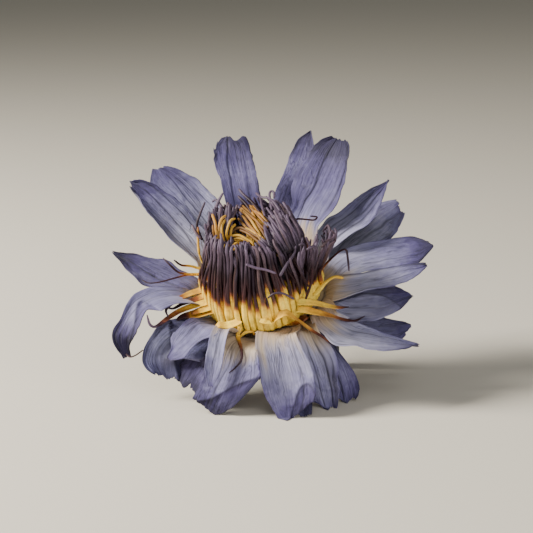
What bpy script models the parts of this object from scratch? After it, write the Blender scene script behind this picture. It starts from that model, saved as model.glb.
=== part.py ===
"""A dried blue water lily bloom (lotus flower), cut close under the head, standing on its drooped petals.

Blender 4.5: blender --background --python part.py. Sizes below are millimetres, and MM turns them to metres.
Frame: +Z up, with the origin on the surface under the middle of the bloom's box. The bloom faces -Y.
Each petal, each sepal, the receptacle and the three groups of stamens is an object of its own.
"""

import math
from dataclasses import dataclass
from random import Random

import bmesh
import bpy
import numpy as np

MM = 0.001

# The bloom's centre is the middle of the stamens' ring, and its axis leans forward and to the left.
BLOOM_CENTRE = np.array((-2.3, -4.4, 35.7))
BLOOM_AXIS = np.array((-0.17, -0.38, 0.91))
BLOOM_AXIS = BLOOM_AXIS / np.linalg.norm(BLOOM_AXIS)
ACROSS = np.cross((0.0, 1.0, 0.0), BLOOM_AXIS)
ACROSS = ACROSS / np.linalg.norm(ACROSS)
BEHIND = np.cross(BLOOM_AXIS, ACROSS)

# The receptacle is a turned cup on a short cut stalk. Its cone carries the roots of petals and sepals.
RIM_RADIUS, RIM_HEIGHT = 19.4, -3.6
CONE_FOOT_RADIUS, CONE_FOOT_HEIGHT = 5.5, -16.6
STALK_RADIUS, STALK_END = 3.6, -24.0
SEAT_GAP = 0.3

BLADE_THICKNESS = 0.7
BLADE_STEPS_LONG, BLADE_STEPS_WIDE = 11, 5

# Heights under the ring of each whorl's roots, and of its shoulder, where a blade clears the stamens' ring.
WHORLS = {"inner": -5.4, "middle": -8.3, "outer": -11.2, "sepal": -14.1}
SHOULDERS = {"inner": -4.6, "middle": -7.4, "outer": -10.2, "sepal": -13.0}
SHOULDER_RADIUS = 23.0
ROOT_WIDTH = 4.8

# The stamens' ring: ribbed yellow bases around it, dark filaments above, golden ones in its hollow.
RING_FOOT_RADIUS, RING_FOOT = 21.2, -2.8
RING_TOP_RADIUS, RING_TOP = 22.2, 7.6
RIB_COUNT, RIB_DEPTH = 44, 0.9
CORE_RADIUS, CORE_TOP = 18.8, 20.0
FILAMENT_RADIUS = 0.85

# Faces thinner than this are dropped where repeats are united.
SLIVER = 0.005

# The crowd of stamens sags this far to the left by its top.
SAG, SAG_HEIGHT = 2.4, 28.0


@dataclass
class Blade:
    """A petal or sepal: where it roots, the middle line that it follows, and how its sheet is shaped.

    clock is the root's place round the axis in degrees, 0 at the right and -90 in front. path holds points
    in millimetres from the bloom's centre. width is at the widest place, peak is that place along the
    blade, tip is the width left at its end, and blunt rounds the end. curl is half the angle that the
    sheet bends across its width, and roll turns the sheet about its middle line, at mid length and tip.
    outward turns the upper face away from the axis, for a blade that hangs straight down from its root.
    """

    name: str
    whorl: str
    clock: float
    path: tuple
    width: float
    peak: float = 0.62
    tip: float = 0.3
    blunt: float = 1.6
    curl: float = 22.0
    roll: tuple = (0.0, 0.0)
    pleat: float = 0.0
    notch: float = 0.0
    outward: float = 0.0


PETALS = (
    Blade("petal_back", "inner", 97, ((-8.5, 24, 27), (-11, 31, 36.5), (-13.5, 38, 46.5)), 14.5,
          peak=0.8, tip=0.75, blunt=4.0, curl=16, notch=0.05),
    Blade("petal_back_right_behind", "outer", 76, ((7.5, 34, 22), (12, 42, 33), (15.5, 48.5, 46)), 13,
          tip=0.15, curl=8),
    Blade("petal_back_right", "inner", 60, ((13, 22.5, 20.3), (19.5, 27, 31.5), (25.5, 32.5, 46.5)), 18,
          peak=0.74, tip=0.45, blunt=2.6, curl=16, pleat=0.7),
    Blade("petal_right_upper", "middle", 39, ((22.3, 18.3, 14.3), (32, 22, 21.5), (42.5, 27, 32)), 11.5,
          tip=0.2, curl=26, roll=(-8, -12), pleat=0.6),
    Blade("petal_right_upper_behind", "outer", 31, ((26, 24.5, 9), (37, 33.5, 15.5), (48, 40, 22.3)), 16.5,
          peak=0.72, tip=0.4, blunt=2.2, curl=10),
    Blade("petal_right_high", "middle", 15, ((28, 10, 6.6), (39.5, 13, 9.4), (58, 14, 12.5)), 16.5,
          peak=0.66, tip=0.2, curl=16),
    Blade("petal_right_mid", "inner", -6, ((28, -1.5, 0.7), (40, -1.5, 2.8), (54, -2, 7.7)), 14,
          tip=0.15, curl=20),
    Blade("petal_right_low", "middle", -17, ((28, -4.5, -4.7), (38, -5.5, -4.2), (49.5, -6.5, -1.2)), 15.5,
          tip=0.2, curl=14),
    Blade("petal_right_low_behind", "outer", -22, ((28, -2, -12.5), (38, 0, -14.5), (49.5, 2, -14)), 13,
          tip=0.2, curl=14),
    Blade("petal_right_front", "inner", -38, ((22.5, -15.5, -9), (31.5, -18, -12.8), (50.5, -18, -16)), 13,
          peak=0.55, tip=0.12, curl=20, roll=(10, 12)),
    Blade("petal_front_right_behind", "outer", -52, ((17.5, -15.5, -14.5), (23, -17.5, -23),
                                                     (26.5, -18, -33.5), (27, -20, -38)), 13.5,
          peak=0.7, tip=0.4, blunt=2.2, curl=16),
    Blade("petal_front_right", "middle", -65, ((13, -20.5, -12.5), (17.5, -23.5, -23), (20.3, -25, -35.4),
                                               (21, -29.5, -38)), 10.5,
          peak=0.66, tip=0.35, curl=28, pleat=0.5),
    Blade("petal_front", "inner", -84, ((3.5, -25.5, -13), (6.5, -32, -23.5), (8.2, -36.5, -34.5),
                                        (8.5, -40, -38)), 18,
          peak=0.58, tip=0.22, blunt=1.7),
    Blade("petal_front_left", "middle", -106, ((-9.5, -24.5, -14.7), (-12.3, -28.5, -22), (-15.5, -32, -29.5),
                                               (-18.5, -35, -35.6), (-20.5, -38.5, -38)), 17,
          peak=0.7, tip=0.35, blunt=2.0, curl=12, roll=(4, 14)),
    Blade("petal_front_left_fold", "inner", -125, ((-15, -24, -9.4), (-17, -30.3, -17.5),
                                                   (-18.5, -34.5, -25.5)), 6.5,
          curl=36),
    Blade("petal_left_low", "inner", -147, ((-22, -16.5, -10), (-26.5, -22.5, -13.5),
                                            (-32.5, -24.5, -19)), 13.5,
          curl=28),
    Blade("petal_left_low_behind", "outer", -125, ((-15.7, -17.2, -17.7), (-21, -18.5, -24.5),
                                                   (-26, -20, -33)), 17.5,
          peak=0.7, tip=0.6, blunt=2.4, curl=18),
    Blade("petal_left_arched", "inner", 183, ((-27, -3.5, -3), (-35, -7, -2), (-43, -11, -5),
                                             (-48.5, -14, -13.5), (-47.5, -14, -21)), 10.5,
          peak=0.5, curl=36, roll=(0, 25)),
    Blade("petal_left", "middle", 168, ((-27.5, 6, -1.5), (-39, 9.5, 3), (-53, 12.5, 9.5)), 13.5,
          peak=0.55, tip=0.2, curl=16),
    Blade("petal_left_upper", "inner", 141, ((-24, 17, 8.5), (-34.5, 22.5, 19), (-48, 28.5, 31)), 17,
          peak=0.66, tip=0.22, curl=20, pleat=0.8),
    Blade("petal_left_upper_behind", "middle", 121, ((-18.5, 26, 13.5), (-28, 34.5, 24), (-39, 42, 34)), 15,
          peak=0.7, tip=0.4, blunt=2.2, curl=10),
)

SEPALS = (
    Blade("sepal_left", "sepal", -168, ((-26, -5, -14), (-33.3, -10, -15.8), (-37, -13.5, -21.3),
                                        (-34.5, -14.5, -28.7)), 17.5,
          peak=0.6, tip=0.4, curl=24),
    Blade("sepal_front", "sepal", -79, ((5, -22, -18.5), (9.5, -29.5, -27.5), (13, -35.5, -35.2)), 9.5,
          tip=0.35, curl=14),
    Blade("sepal_back_right", "sepal", 42, ((21, 23, -13), (23, 26, -24), (23.5, 27, -35.5),
                                            (24.5, 32, -38)), 13,
          curl=20, outward=1.5),
    Blade("sepal_back_left", "sepal", 138, ((-20, 22.5, -15), (-22.5, 25, -25), (-24, 26.5, -35.5),
                                            (-25.5, 31.5, -38)), 13,
          curl=20, outward=1.5),
)


def ring_point(clock, radius, height):
    """The point at a clock angle, radius and height about the bloom's axis, from the bloom's centre."""
    turn = math.radians(clock)
    return radius * (math.cos(turn) * ACROSS + math.sin(turn) * BEHIND) + height * BLOOM_AXIS


def cone_radius(height):
    """The receptacle's radius at a height on its cone."""
    share = (height - CONE_FOOT_HEIGHT) / (RIM_HEIGHT - CONE_FOOT_HEIGHT)
    return CONE_FOOT_RADIUS + share * (RIM_RADIUS - CONE_FOOT_RADIUS)


def smooth_line(points, count):
    """count points, evenly spaced, on a Catmull-Rom line through the points."""
    p = np.array(points, float)
    p = np.vstack((2 * p[0] - p[1], p, 2 * p[-1] - p[-2]))
    fine = []
    for a, b, c, d in zip(p, p[1:], p[2:], p[3:]):
        for t in np.linspace(0, 1, 24, endpoint=False):
            fine.append(0.5 * (2 * b + (c - a) * t + (2 * a - 5 * b + 4 * c - d) * t**2
                               + (3 * b - a - 3 * c + d) * t**3))
    fine.append(p[-2])
    fine = np.array(fine)
    reach = np.concatenate(([0], np.cumsum(np.linalg.norm(np.diff(fine, axis=0), axis=1))))
    wanted = np.linspace(0, reach[-1], count)
    return np.stack([np.interp(wanted, reach, fine[:, k]) for k in range(3)], axis=1)


def unit(v):
    return v / np.linalg.norm(v, axis=-1, keepdims=True)


def line_frames(line, facing):
    """Unit tangents along a line, normals nearest to facing, and the sideways directions."""
    tangents = unit(np.gradient(line, axis=0))
    normals = unit(facing - (tangents @ facing)[:, None] * tangents)
    return tangents, normals, np.cross(tangents, normals)


def width_share(t, blade, root):
    """The blade's width along its length, as a share of its full width."""
    rising = root + (1 - root) * np.sin(math.pi / 2 * np.clip(t / blade.peak, 0, 1)) ** 1.1
    past = np.clip((t - blade.peak) / (1 - blade.peak), 0, 1)
    falling = blade.tip + (1 - blade.tip) * np.cos(math.pi / 2 * past**blade.blunt)
    return np.where(t < blade.peak, rising, falling)


def blade_sheet(blade, steps_long, steps_wide):
    """The middle surface of a blade, as a grid of points from the bloom's centre."""
    root_height = WHORLS[blade.whorl]
    root = ring_point(blade.clock, cone_radius(root_height) + 2 * SEAT_GAP, root_height)
    shoulder = ring_point(blade.clock, SHOULDER_RADIUS, SHOULDERS[blade.whorl])
    line = smooth_line((root, shoulder, *blade.path), steps_long)
    facing = unit(BLOOM_AXIS + blade.outward * ring_point(blade.clock, 1, 0))
    tangents, normals, sides = line_frames(line, facing)
    t = np.linspace(0, 1, steps_long)
    s = np.linspace(-1, 1, steps_wide)
    roll = np.radians(np.interp(t, (0, 0.25, 0.65, 1), (0, 0, *blade.roll)))[:, None]
    across = np.cos(roll) * sides + np.sin(roll) * normals
    out = np.cos(roll) * normals - np.sin(roll) * sides
    half = blade.width / 2 * width_share(t, blade, ROOT_WIDTH / blade.width)
    bend = np.radians(blade.curl) * np.clip(0.3 + 2.5 * t, 0, 1)
    aside = half[:, None] * np.sin(bend[:, None] * s) / bend[:, None]
    lift = half[:, None] * (1 - np.cos(bend[:, None] * s)) / bend[:, None]
    lift = lift + blade.pleat * np.sin(math.pi * 1.5 * s) * np.sin(math.pi * t)[:, None] ** 0.5
    slip = blade.notch * (1 - np.cos(2 * math.pi * s)) / 2 * t[:, None] ** 6
    back = slip * np.linalg.norm(line[-1] - line[0])
    return (line[:, None] - back[..., None] * tangents[:, None]
            + aside[..., None] * across[:, None] + lift[..., None] * out[:, None])


def grid_normals(grid):
    return unit(np.cross(np.gradient(grid, axis=0), np.gradient(grid, axis=1)))


def lay_on_surface(grid):
    """Keeps a sheet off the surface that the bloom stands on. What would pass through it lies flat on it."""
    floor = -BLOOM_CENTRE[2] + BLADE_THICKNESS / 2
    grid[..., 2] = np.maximum(grid[..., 2], floor)
    return np.abs(grid[..., 2] - floor) < 1e-6


def thickened(grid, thickness, flat=None):
    """The closed solid about a sheet: points, and triangles split alike on both faces."""
    rows, columns = grid.shape[:2]
    offset = grid_normals(grid) * (thickness / 2)
    if flat is not None:
        offset[flat] = np.array((0, 0, thickness / 2)) * np.sign(offset[flat][:, 2:3])
    points = np.concatenate(((grid + offset).reshape(-1, 3), (grid - offset).reshape(-1, 3)))
    under = rows * columns
    faces = []
    for i in range(rows - 1):
        for j in range(columns - 1):
            a, b = i * columns + j, i * columns + j + 1
            c, d = b + columns, a + columns
            faces += [(a, d, b), (b, d, c)]
            faces += [(a + under, b + under, d + under), (b + under, c + under, d + under)]
    rim = [(0, j) for j in range(columns)] + [(i, columns - 1) for i in range(1, rows)]
    rim += [(rows - 1, j) for j in range(columns - 2, -1, -1)] + [(i, 0) for i in range(rows - 2, 0, -1)]
    loop = [i * columns + j for i, j in rim]
    for a, b in zip(loop, loop[1:] + loop[:1]):
        faces += [(a, b, a + under), (b, b + under, a + under)]
    return points, faces


def tube(line, radius, sides, end_share=0.6):
    """A closed tube along a line, a little thinner at its far end: points and faces."""
    tangents, normals, aside = line_frames(line, unit(np.array((0.31, 0.52, 0.79))))
    points = []
    for k, centre in enumerate(line):
        r = radius * (1 - (1 - end_share) * (k / (len(line) - 1)) ** 2)
        for j in range(sides):
            turn = 2 * math.pi * j / sides
            points.append(centre + r * (math.cos(turn) * normals[k] + math.sin(turn) * aside[k]))
    faces = []
    for k in range(len(line) - 1):
        for j in range(sides):
            a, b = k * sides + j, k * sides + (j + 1) % sides
            faces.append((a, b, b + sides, a + sides))
    faces.append(tuple(range(sides - 1, -1, -1)))
    faces.append(tuple(range((len(line) - 1) * sides, len(line) * sides)))
    return np.array(points), faces


def turned(profile, sides, ribs=None):
    """A solid turned about the bloom's axis. The profile starts and ends on the axis, or closes on itself."""
    points, faces, rings = [], [], []
    for row, (radius, height) in enumerate(profile):
        if radius == 0:
            rings.append([len(points)] * sides)
            points.append(height * BLOOM_AXIS)
            continue
        rings.append(list(range(len(points), len(points) + sides)))
        for j in range(sides):
            more = ribs(row, j) if ribs else (0.0, 0.0)
            points.append(ring_point(360 * j / sides, radius + more[0], height + more[1]))
    if profile[0][0] != 0:
        rings.append(rings[0])
    for low, high in zip(rings, rings[1:]):
        for j in range(sides):
            k = (j + 1) % sides
            face = dict.fromkeys((low[j], low[k], high[k], high[j]))
            faces.append(tuple(face))
    return np.array(points), faces


def make_object(name, points, faces, material, smooth=False):
    mesh = bpy.data.meshes.new(name)
    mesh.from_pydata([tuple(p) for p in (np.asarray(points) + BLOOM_CENTRE) * MM], [], faces)
    mesh.update()
    mesh.materials.append(material)
    if smooth:
        mesh.shade_smooth()
    made = bpy.data.objects.new(name, mesh)
    bpy.context.scene.collection.objects.link(made)
    return made


def drop_scraps(mesh):
    """Keeps the largest of a mesh's loose bodies, without its slivers."""
    cut = bmesh.new()
    cut.from_mesh(mesh)
    bmesh.ops.dissolve_degenerate(cut, dist=SLIVER * MM, edges=cut.edges)
    bmesh.ops.triangulate(cut, faces=cut.faces)
    bodies = []
    unseen = set(cut.verts)
    while unseen:
        body, edge = set(), [next(iter(unseen))]
        while edge:
            vert = edge.pop()
            if vert in body:
                continue
            body.add(vert)
            edge += [side.other_vert(vert) for side in vert.link_edges]
        unseen -= body
        bodies.append(body)
    bodies.sort(key=len)
    for body in bodies[:-1]:
        bmesh.ops.delete(cut, geom=list(body), context="VERTS")
    cut.to_mesh(mesh)
    cut.free()


def join_by_union(target, pieces, solver="EXACT"):
    """Unites the pieces with the target into one body, and removes the pieces."""
    group = bpy.data.collections.new(target.name + "_repeats")
    bpy.context.scene.collection.children.link(group)
    for piece in pieces:
        bpy.context.scene.collection.objects.unlink(piece)
        group.objects.link(piece)
    union = target.modifiers.new("union", "BOOLEAN")
    union.operation = "UNION"
    union.operand_type = "COLLECTION"
    union.collection = group
    union.solver = solver
    bpy.context.view_layer.update()
    graph = bpy.context.evaluated_depsgraph_get()
    joined = bpy.data.meshes.new_from_object(target.evaluated_get(graph))
    target.modifiers.clear()
    drop_scraps(joined)
    target.data = joined
    for piece in pieces:
        bpy.data.objects.remove(piece)
    bpy.data.collections.remove(group)


def make_material(name, colour, roughness):
    material = bpy.data.materials.new(name)
    material.use_nodes = True
    shader = material.node_tree.nodes["Principled BSDF"]
    shader.inputs["Base Color"].default_value = (*colour, 1.0)
    shader.inputs["Roughness"].default_value = roughness
    shader.inputs["Metallic"].default_value = 0.0
    return material


def make_receptacle(material):
    """The cup that carries everything, with its cut stalk."""
    profile = (
        (0, STALK_END), (STALK_RADIUS, STALK_END), (STALK_RADIUS * 0.92, STALK_END + 4),
        (STALK_RADIUS, CONE_FOOT_HEIGHT - 1.6), (CONE_FOOT_RADIUS, CONE_FOOT_HEIGHT),
        (RIM_RADIUS, RIM_HEIGHT), (RIM_RADIUS - 0.8, RIM_HEIGHT + 0.5), (13.0, 0.0), (0, 0.0),
    )
    return make_object("receptacle", *turned(profile, 32), material, smooth=True)


def make_blades(blades, material):
    for blade in blades:
        grid = blade_sheet(blade, BLADE_STEPS_LONG, BLADE_STEPS_WIDE + 1)
        flat = lay_on_surface(grid)
        make_object(blade.name, *thickened(grid, BLADE_THICKNESS, flat), material, smooth=True)


# The broad yellow outer stamens that fan out of the ring, as points given by clock, radius and height. They
# leave the ring, cross above the petals and end in a thin curl.
FAN_STEPS, FAN_THICKNESS = 6, 0.9
# Half of a fanned stamen's width, at shares of its length.
FAN_HALF_WIDTHS = ((0, 0.3, 0.6, 1), (1.5, 1.7, 0.75, 0.5))
FANNED = (
    ("left_high", ((172, 20.5, 4.5), (172, 25, 8), (171, 30, 11.5), (170, 34, 15))),
    ("left_thin", ((180, 20.5, 4), (180, 26, 7), (179, 31, 9.5), (177, 37, 13))),
    ("left", ((204, 20.5, 4), (204, 25, 4), (203, 30, 5.5), (201, 34, 9))),
    ("left_low", ((216, 20.5, 3), (216, 25, 3), (216, 29, 4.5), (214, 33, 8))),
    ("front_left", ((232, 20.5, 2.5), (232, 24.5, 2.2), (233, 27.5, 4))),
    ("front_low", ((258, 20.5, 2.2), (258, 24.5, 2), (258, 28, 2.2), (257, 31, 0))),
    ("front_right", ((296, 20.5, 2), (297, 25, 0.5), (300, 30, -1.5), (303, 35, -6))),
    ("right_low", ((318, 20.5, 2.5), (319, 25, 2), (322, 30, 1.5), (325, 36, 3))),
    ("right", ((333, 20.5, 3), (334, 25, 3.5), (336, 29, 6), (338, 33, 7))),
    ("right_high", ((352, 20.5, 4), (353, 24, 6.5), (354, 27, 10), (352, 29, 12))),
)


def make_stamen_bases(material):
    """The ring of ribbed yellow bases, with the broad outer stamens that fan out of it."""
    points_per_rib = 3
    # How far a rib's crest reaches beyond the grooves beside it, for the rows of the profile that are ribbed.
    crest_reach = {1: -0.9, 2: 0.0, 3: 1.2}

    def ribs(row, j):
        if row not in crest_reach:
            return 0.0, 0.0
        on_crest = j % points_per_rib == 0
        return (0.0, crest_reach[row]) if on_crest else (-RIB_DEPTH, 0.0)

    profile = (
        (16.0, -1.1), (RING_FOOT_RADIUS, RING_FOOT + 0.4), (RING_TOP_RADIUS + 0.1, RING_FOOT + 4),
        (RING_TOP_RADIUS, RING_TOP - 0.5), (RING_TOP_RADIUS - 1.6, RING_TOP - 1.4),
    )
    ribbed = turned(profile, RIB_COUNT * points_per_rib, ribs)
    ring = make_object("stamen_bases", *ribbed, material, smooth=True)
    fans = []
    for name, places in FANNED:
        line = smooth_line([ring_point(*place) for place in places], FAN_STEPS)
        _, _, sideways = line_frames(line, BLOOM_AXIS)
        half = np.interp(np.linspace(0, 1, FAN_STEPS), *FAN_HALF_WIDTHS)
        grid = line[:, None] + np.array((-1, 1))[None, :, None] * half[:, None, None] * sideways[:, None]
        fans.append(make_object("fan_" + name, *thickened(grid, FAN_THICKNESS), material))
    join_by_union(ring, fans)


def sagged(clock, radius, height):
    """A point of the crowd of stamens, which sags to the left towards its top."""
    return ring_point(clock, radius, height) - SAG * (max(height, 0) / SAG_HEIGHT) ** 2 * ACROSS


def filament(clock, places, material, radius=FILAMENT_RADIUS, steps=6, sides=4):
    """One stamen, through places given as clock angle off its own, radius and height."""
    line = smooth_line([sagged(clock + turn, r, h) for turn, r, h in places], steps)
    return make_object("filament", *tube(line, radius, sides), material)


def make_dark_stamens(material):
    """The crowd of dark filaments: an outer wall that bends in at its top, and a second row behind it."""
    draw = Random(5)
    core = (
        (0, 0.6), (15.4, 0.6), (18.2, 4.2), (18.9, 7.0), (CORE_RADIUS, 11.0),
        (CORE_RADIUS - 0.9, CORE_TOP - 2.5), (CORE_RADIUS - 3.2, CORE_TOP), (0, CORE_TOP),
    )
    body = make_object("stamens_dark", *turned(core, 32), material, smooth=True)
    pieces = []
    outer = 52
    for k in range(outer):
        clock = 360 * k / outer + draw.uniform(-1.2, 1.2)
        behind = math.sin(math.radians(clock))
        top = 27.5 + 1.2 * behind + draw.uniform(-1.6, 1.6)
        reach = 12.5 + draw.uniform(-1.4, 1.8)
        lean = draw.uniform(-6, 6)
        pieces.append(filament(clock, (
            (0, 18.2, RING_TOP - 0.8), (0.1 * lean, 20.1, RING_TOP + 1.4), (0.4 * lean, 20.9, 15.0),
            (0.7 * lean, 19.8, 21.0), (0.9 * lean, 16.6, top - 1.6), (lean, reach, top),
        ), material))
    inner = 28
    for k in range(inner):
        clock = 360 * (k + 0.5) / inner + draw.uniform(-2, 2)
        behind = math.sin(math.radians(clock))
        top = 27.8 + 2.0 * behind + draw.uniform(-1.0, 1.6)
        lean = draw.uniform(-12, 12)
        pieces.append(filament(clock, (
            (0, 13.6, CORE_TOP - 1.5), (0.4 * lean, 14.4, 24.0), (lean, 11.4, top - 2.0),
        ), material, steps=4))
    join_by_union(body, pieces, solver="MANIFOLD")


def make_gold_stamens(material):
    """The golden inner filaments, which curve in over the hollow from a low dome."""
    draw = Random(11)
    floor = CORE_TOP + SEAT_GAP
    dome = ((0, floor), (9.0, floor), (9.8, floor + 0.8), (8.0, floor + 2.0), (0, floor + 2.6))
    body = make_object("stamens_gold", *turned(dome, 24), material, smooth=True)
    pieces = []
    count = 24
    for k in range(count):
        clock = 360 * k / count + draw.uniform(-4, 4)
        behind = math.sin(math.radians(clock))
        foot = 5.0 + 2.6 * (k % 2)
        top = 25.6 + 1.6 * behind + draw.uniform(-0.8, 1.2)
        pieces.append(filament(clock, (
            (0, foot, floor + 0.9), (4, foot + 0.8, floor + 2.8), (12, foot - 0.6, top - 0.9),
            (30, max(1.4, foot - 3.4), top),
        ), material, radius=0.6, steps=5))
    join_by_union(body, pieces, solver="MANIFOLD")


def main():
    for old in list(bpy.data.objects):
        bpy.data.objects.remove(old)
    petal_skin = make_material("petal_skin", (0.24, 0.25, 0.42), 0.75)
    sepal_skin = make_material("sepal_skin", (0.22, 0.21, 0.17), 0.8)
    receptacle_skin = make_material("receptacle_skin", (0.25, 0.19, 0.09), 0.85)
    yellow = make_material("stamen_yellow", (0.72, 0.47, 0.08), 0.7)
    dark = make_material("stamen_dark", (0.07, 0.045, 0.06), 0.6)
    gold = make_material("stamen_gold", (0.55, 0.3, 0.06), 0.65)
    make_receptacle(receptacle_skin)
    make_blades(PETALS, petal_skin)
    make_blades(SEPALS, sepal_skin)
    make_stamen_bases(yellow)
    make_dark_stamens(dark)
    make_gold_stamens(gold)


main()
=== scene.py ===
"""The finished look of a dried blue water lily bloom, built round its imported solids.

Sizes are millimetres from the bloom's centre, and MM turns them to metres. The bloom faces -Y.
"""

import math
from dataclasses import dataclass
from random import Random

import bpy
import numpy as np
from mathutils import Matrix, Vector


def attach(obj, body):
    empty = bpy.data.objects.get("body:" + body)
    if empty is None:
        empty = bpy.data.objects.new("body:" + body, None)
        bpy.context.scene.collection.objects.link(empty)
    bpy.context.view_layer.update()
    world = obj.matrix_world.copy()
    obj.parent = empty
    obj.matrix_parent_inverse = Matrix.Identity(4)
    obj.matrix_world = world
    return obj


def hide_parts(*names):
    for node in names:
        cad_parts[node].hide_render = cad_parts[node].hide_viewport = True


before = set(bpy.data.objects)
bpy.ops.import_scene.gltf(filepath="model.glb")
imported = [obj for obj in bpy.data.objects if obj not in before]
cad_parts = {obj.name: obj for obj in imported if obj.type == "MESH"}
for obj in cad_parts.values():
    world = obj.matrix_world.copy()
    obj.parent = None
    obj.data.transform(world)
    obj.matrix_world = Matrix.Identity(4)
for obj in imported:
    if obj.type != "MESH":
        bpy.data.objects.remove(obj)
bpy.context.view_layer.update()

MM = 0.001

# The bloom's frame, as in the solids: the middle of the stamens' ring, and the axis that leans to the viewer.
BLOOM_CENTRE = np.array((-2.3, -4.4, 35.7))
BLOOM_AXIS = np.array((-0.17, -0.38, 0.91))
BLOOM_AXIS = BLOOM_AXIS / np.linalg.norm(BLOOM_AXIS)
ACROSS = np.cross((0.0, 1.0, 0.0), BLOOM_AXIS)
ACROSS = ACROSS / np.linalg.norm(ACROSS)
BEHIND = np.cross(BLOOM_AXIS, ACROSS)

# The viewer's frame. Seen points are pixels of a square picture, whose middle is PICTURE_MIDDLE.
VIEW_TILT = math.radians(12)
VIEW_DISTANCE = 600.0
VIEW_RIGHT = np.array((1.0, 0.0, 0.0))
VIEW_UP = np.array((0.0, math.sin(VIEW_TILT), math.cos(VIEW_TILT)))
VIEW_AHEAD = np.array((0.0, math.cos(VIEW_TILT), -math.sin(VIEW_TILT)))
PICTURE_MIDDLE = 266.5
PIXEL = 0.343
PIXEL_STEP = np.array((PIXEL, -PIXEL))
CENTRE_SEEN = np.array((267.2, 287.1))
CENTRE_OFFSET = (CENTRE_SEEN - PICTURE_MIDDLE) * PIXEL_STEP
# What a step across or behind, and a step along the bloom's axis, come to as seen: to the right and up.
PLAN_SEEN = np.array([[axis @ ACROSS, axis @ BEHIND] for axis in (VIEW_RIGHT, VIEW_UP)])
RISE_SEEN = np.array((VIEW_RIGHT @ BLOOM_AXIS, VIEW_UP @ BLOOM_AXIS))

# The receptacle's cone, and the height at which each whorl is seated on it and bends out over its rim.
RIM_RADIUS, RIM_HEIGHT = 19.4, -3.6
CONE_FOOT_RADIUS, CONE_FOOT_HEIGHT = 5.5, -16.6
SEAT_GAP = 0.3
WHORLS = {"inner": -5.4, "middle": -8.3, "outer": -11.2, "sepal": -14.1}
SHOULDERS = {"inner": -3.2, "middle": -5.5, "outer": -8.6, "sepal": -11.6}
SHOULDER_RADIUS = 22.6

# The blades' feet lie side by side under the stamens and hide what is behind.
ROOT_SHARE = 0.8
SHEET_THICKNESS = 0.34
SHEET_ROWS, SHEET_COLUMNS = 92, 68
LOWEST = (-np.inf, -np.inf, SHEET_THICKNESS / 2 - BLOOM_CENTRE[2])
SMALL_CREASES = 11
EDGE_WAVE = 0.7
# A blade's outline as seen counts from this share of its length on.
OUTLINE_FROM = 0.14
# A tip of this tone is dark from foot to tip. A higher tone darkens the tip alone.
DARK_TONE = 0.9
# The unit of the blades' flow maps, and the gap between two ribs.
FLOW_UNIT = 50.0
RIB_GAP = 1.15

# The crown of the stamens' wall, round the clock: its shoulder's radius and height, the way that the tips go
# beyond it, to the right, to the back and up, and how the crowd rises behind it.
CROWN = np.array((
    (-180, 18.2, 22.0, 2.0, 0.0, 4.0, -0.1),
    (-134, 16.8, 26.2, 1.5, 3.5, 2.0, -0.3),
    (-90, 14.6, 24.2, -1.0, 3.0, 2.0, -0.3),
    (-60, 15.6, 21.6, -3.5, 5.0, 3.6, 0.1),
    (-30, 16.4, 17.7, -6.5, 8.0, 8.0, 0.7),
    (0, 16.0, 17.0, -5.0, 5.5, 10.0, 0.7),
    (30, 15.0, 20.0, -3.5, 1.5, 8.5, 0.3),
    (60, 14.6, 21.5, -2.5, 0.5, 6.5, 0.0),
    (90, 14.8, 21.5, -1.5, -0.5, 6.0, 0.0),
    (130, 16.4, 23.5, 0.5, -1.5, 5.5, 0.0),
    (180, 18.2, 22.0, 2.0, 0.0, 4.0, -0.1),
))
# How much higher the yellow of the wall's feet reaches, round the clock.
YELLOW_REACH = (
    (-180, -145, -133, -120, -105, -97, -88, -75, -62, -50, -20, 60, 180),
    (0.06, 0.06, 0.04, 0.1, 0.02, 0.06, 0.1, 0.09, 0.06, 0.02, -0.02, 0, 0.06),
)
# The rounds of the wall, from the outside in. Each has its number of stamens, how far in it stands, its
# feet's width, where along it and how fast it ripens, its painted shade for lying deeper in the crowd, and
# the clock angles that it fills.
WALL = (
    (62, 0.0, 2.2, 0.27, 0.13, 0.0, (-180, 180)),
    (62, 0.9, 2.1, 0.31, 0.14, 0.1, (-180, 180)),
    (56, 2.0, 2.0, 0.34, 0.14, 0.3, (-180, 180)),
    (36, 3.3, 1.8, 0.3, 0.14, 0.35, (-185, 80)),
    (26, 4.8, 1.6, 0.3, 0.14, 0.35, (-150, 75)),
    (22, 6.4, 1.4, 0.3, 0.14, 0.35, (-65, 60)),
    (16, 8.2, 1.4, 0.3, 0.14, 0.35, (-65, 60)),
)
# Filaments combed from one line of seen places to another, over the right of the crowd and about the hollow.
# Each comb has its number, its two lines, its depth, how it rises midway, how loose it is and how golden.
DARK_COMBS = (
    (40, ((270, 246, 25), (284, 247, 22), (295, 247, 19.5), (297, 238, 20), (294, 226, 23)),
     ((262, 222, 27), (267, 210, 29), (274, 203, 30), (281, 203, 30), (284, 205, 29)), 2.5, 1.6, 0.1, 0.0),
    (38, ((211, 246, 21), (218, 246, 21), (228, 244, 21)),
     ((206, 222, 28), (212, 209, 30), (222, 203, 31), (234, 203, 30.5)), 1.5, 0.2, 0.05, 0.0),
    (24, ((303, 247, 20.5), (299, 249, 20.3), (294, 250, 20.8), (288, 250, 21.5), (281, 249, 22.4)),
     ((287, 210, 29.2), (280, 212, 29.6), (273, 213, 29.8), (268, 217, 29), (265, 223, 27.6)),
     1.4, 1.2, 0.16, 0.0),
    (22, ((262, 246, 22), (267, 236, 23.5), (268, 225, 25), (268, 217, 26)),
     ((234, 212, 24.5), (236, 206, 26), (246, 203, 27), (253, 206, 27)), 1.5, 0.3, 0.1, 0.0),
)
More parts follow.
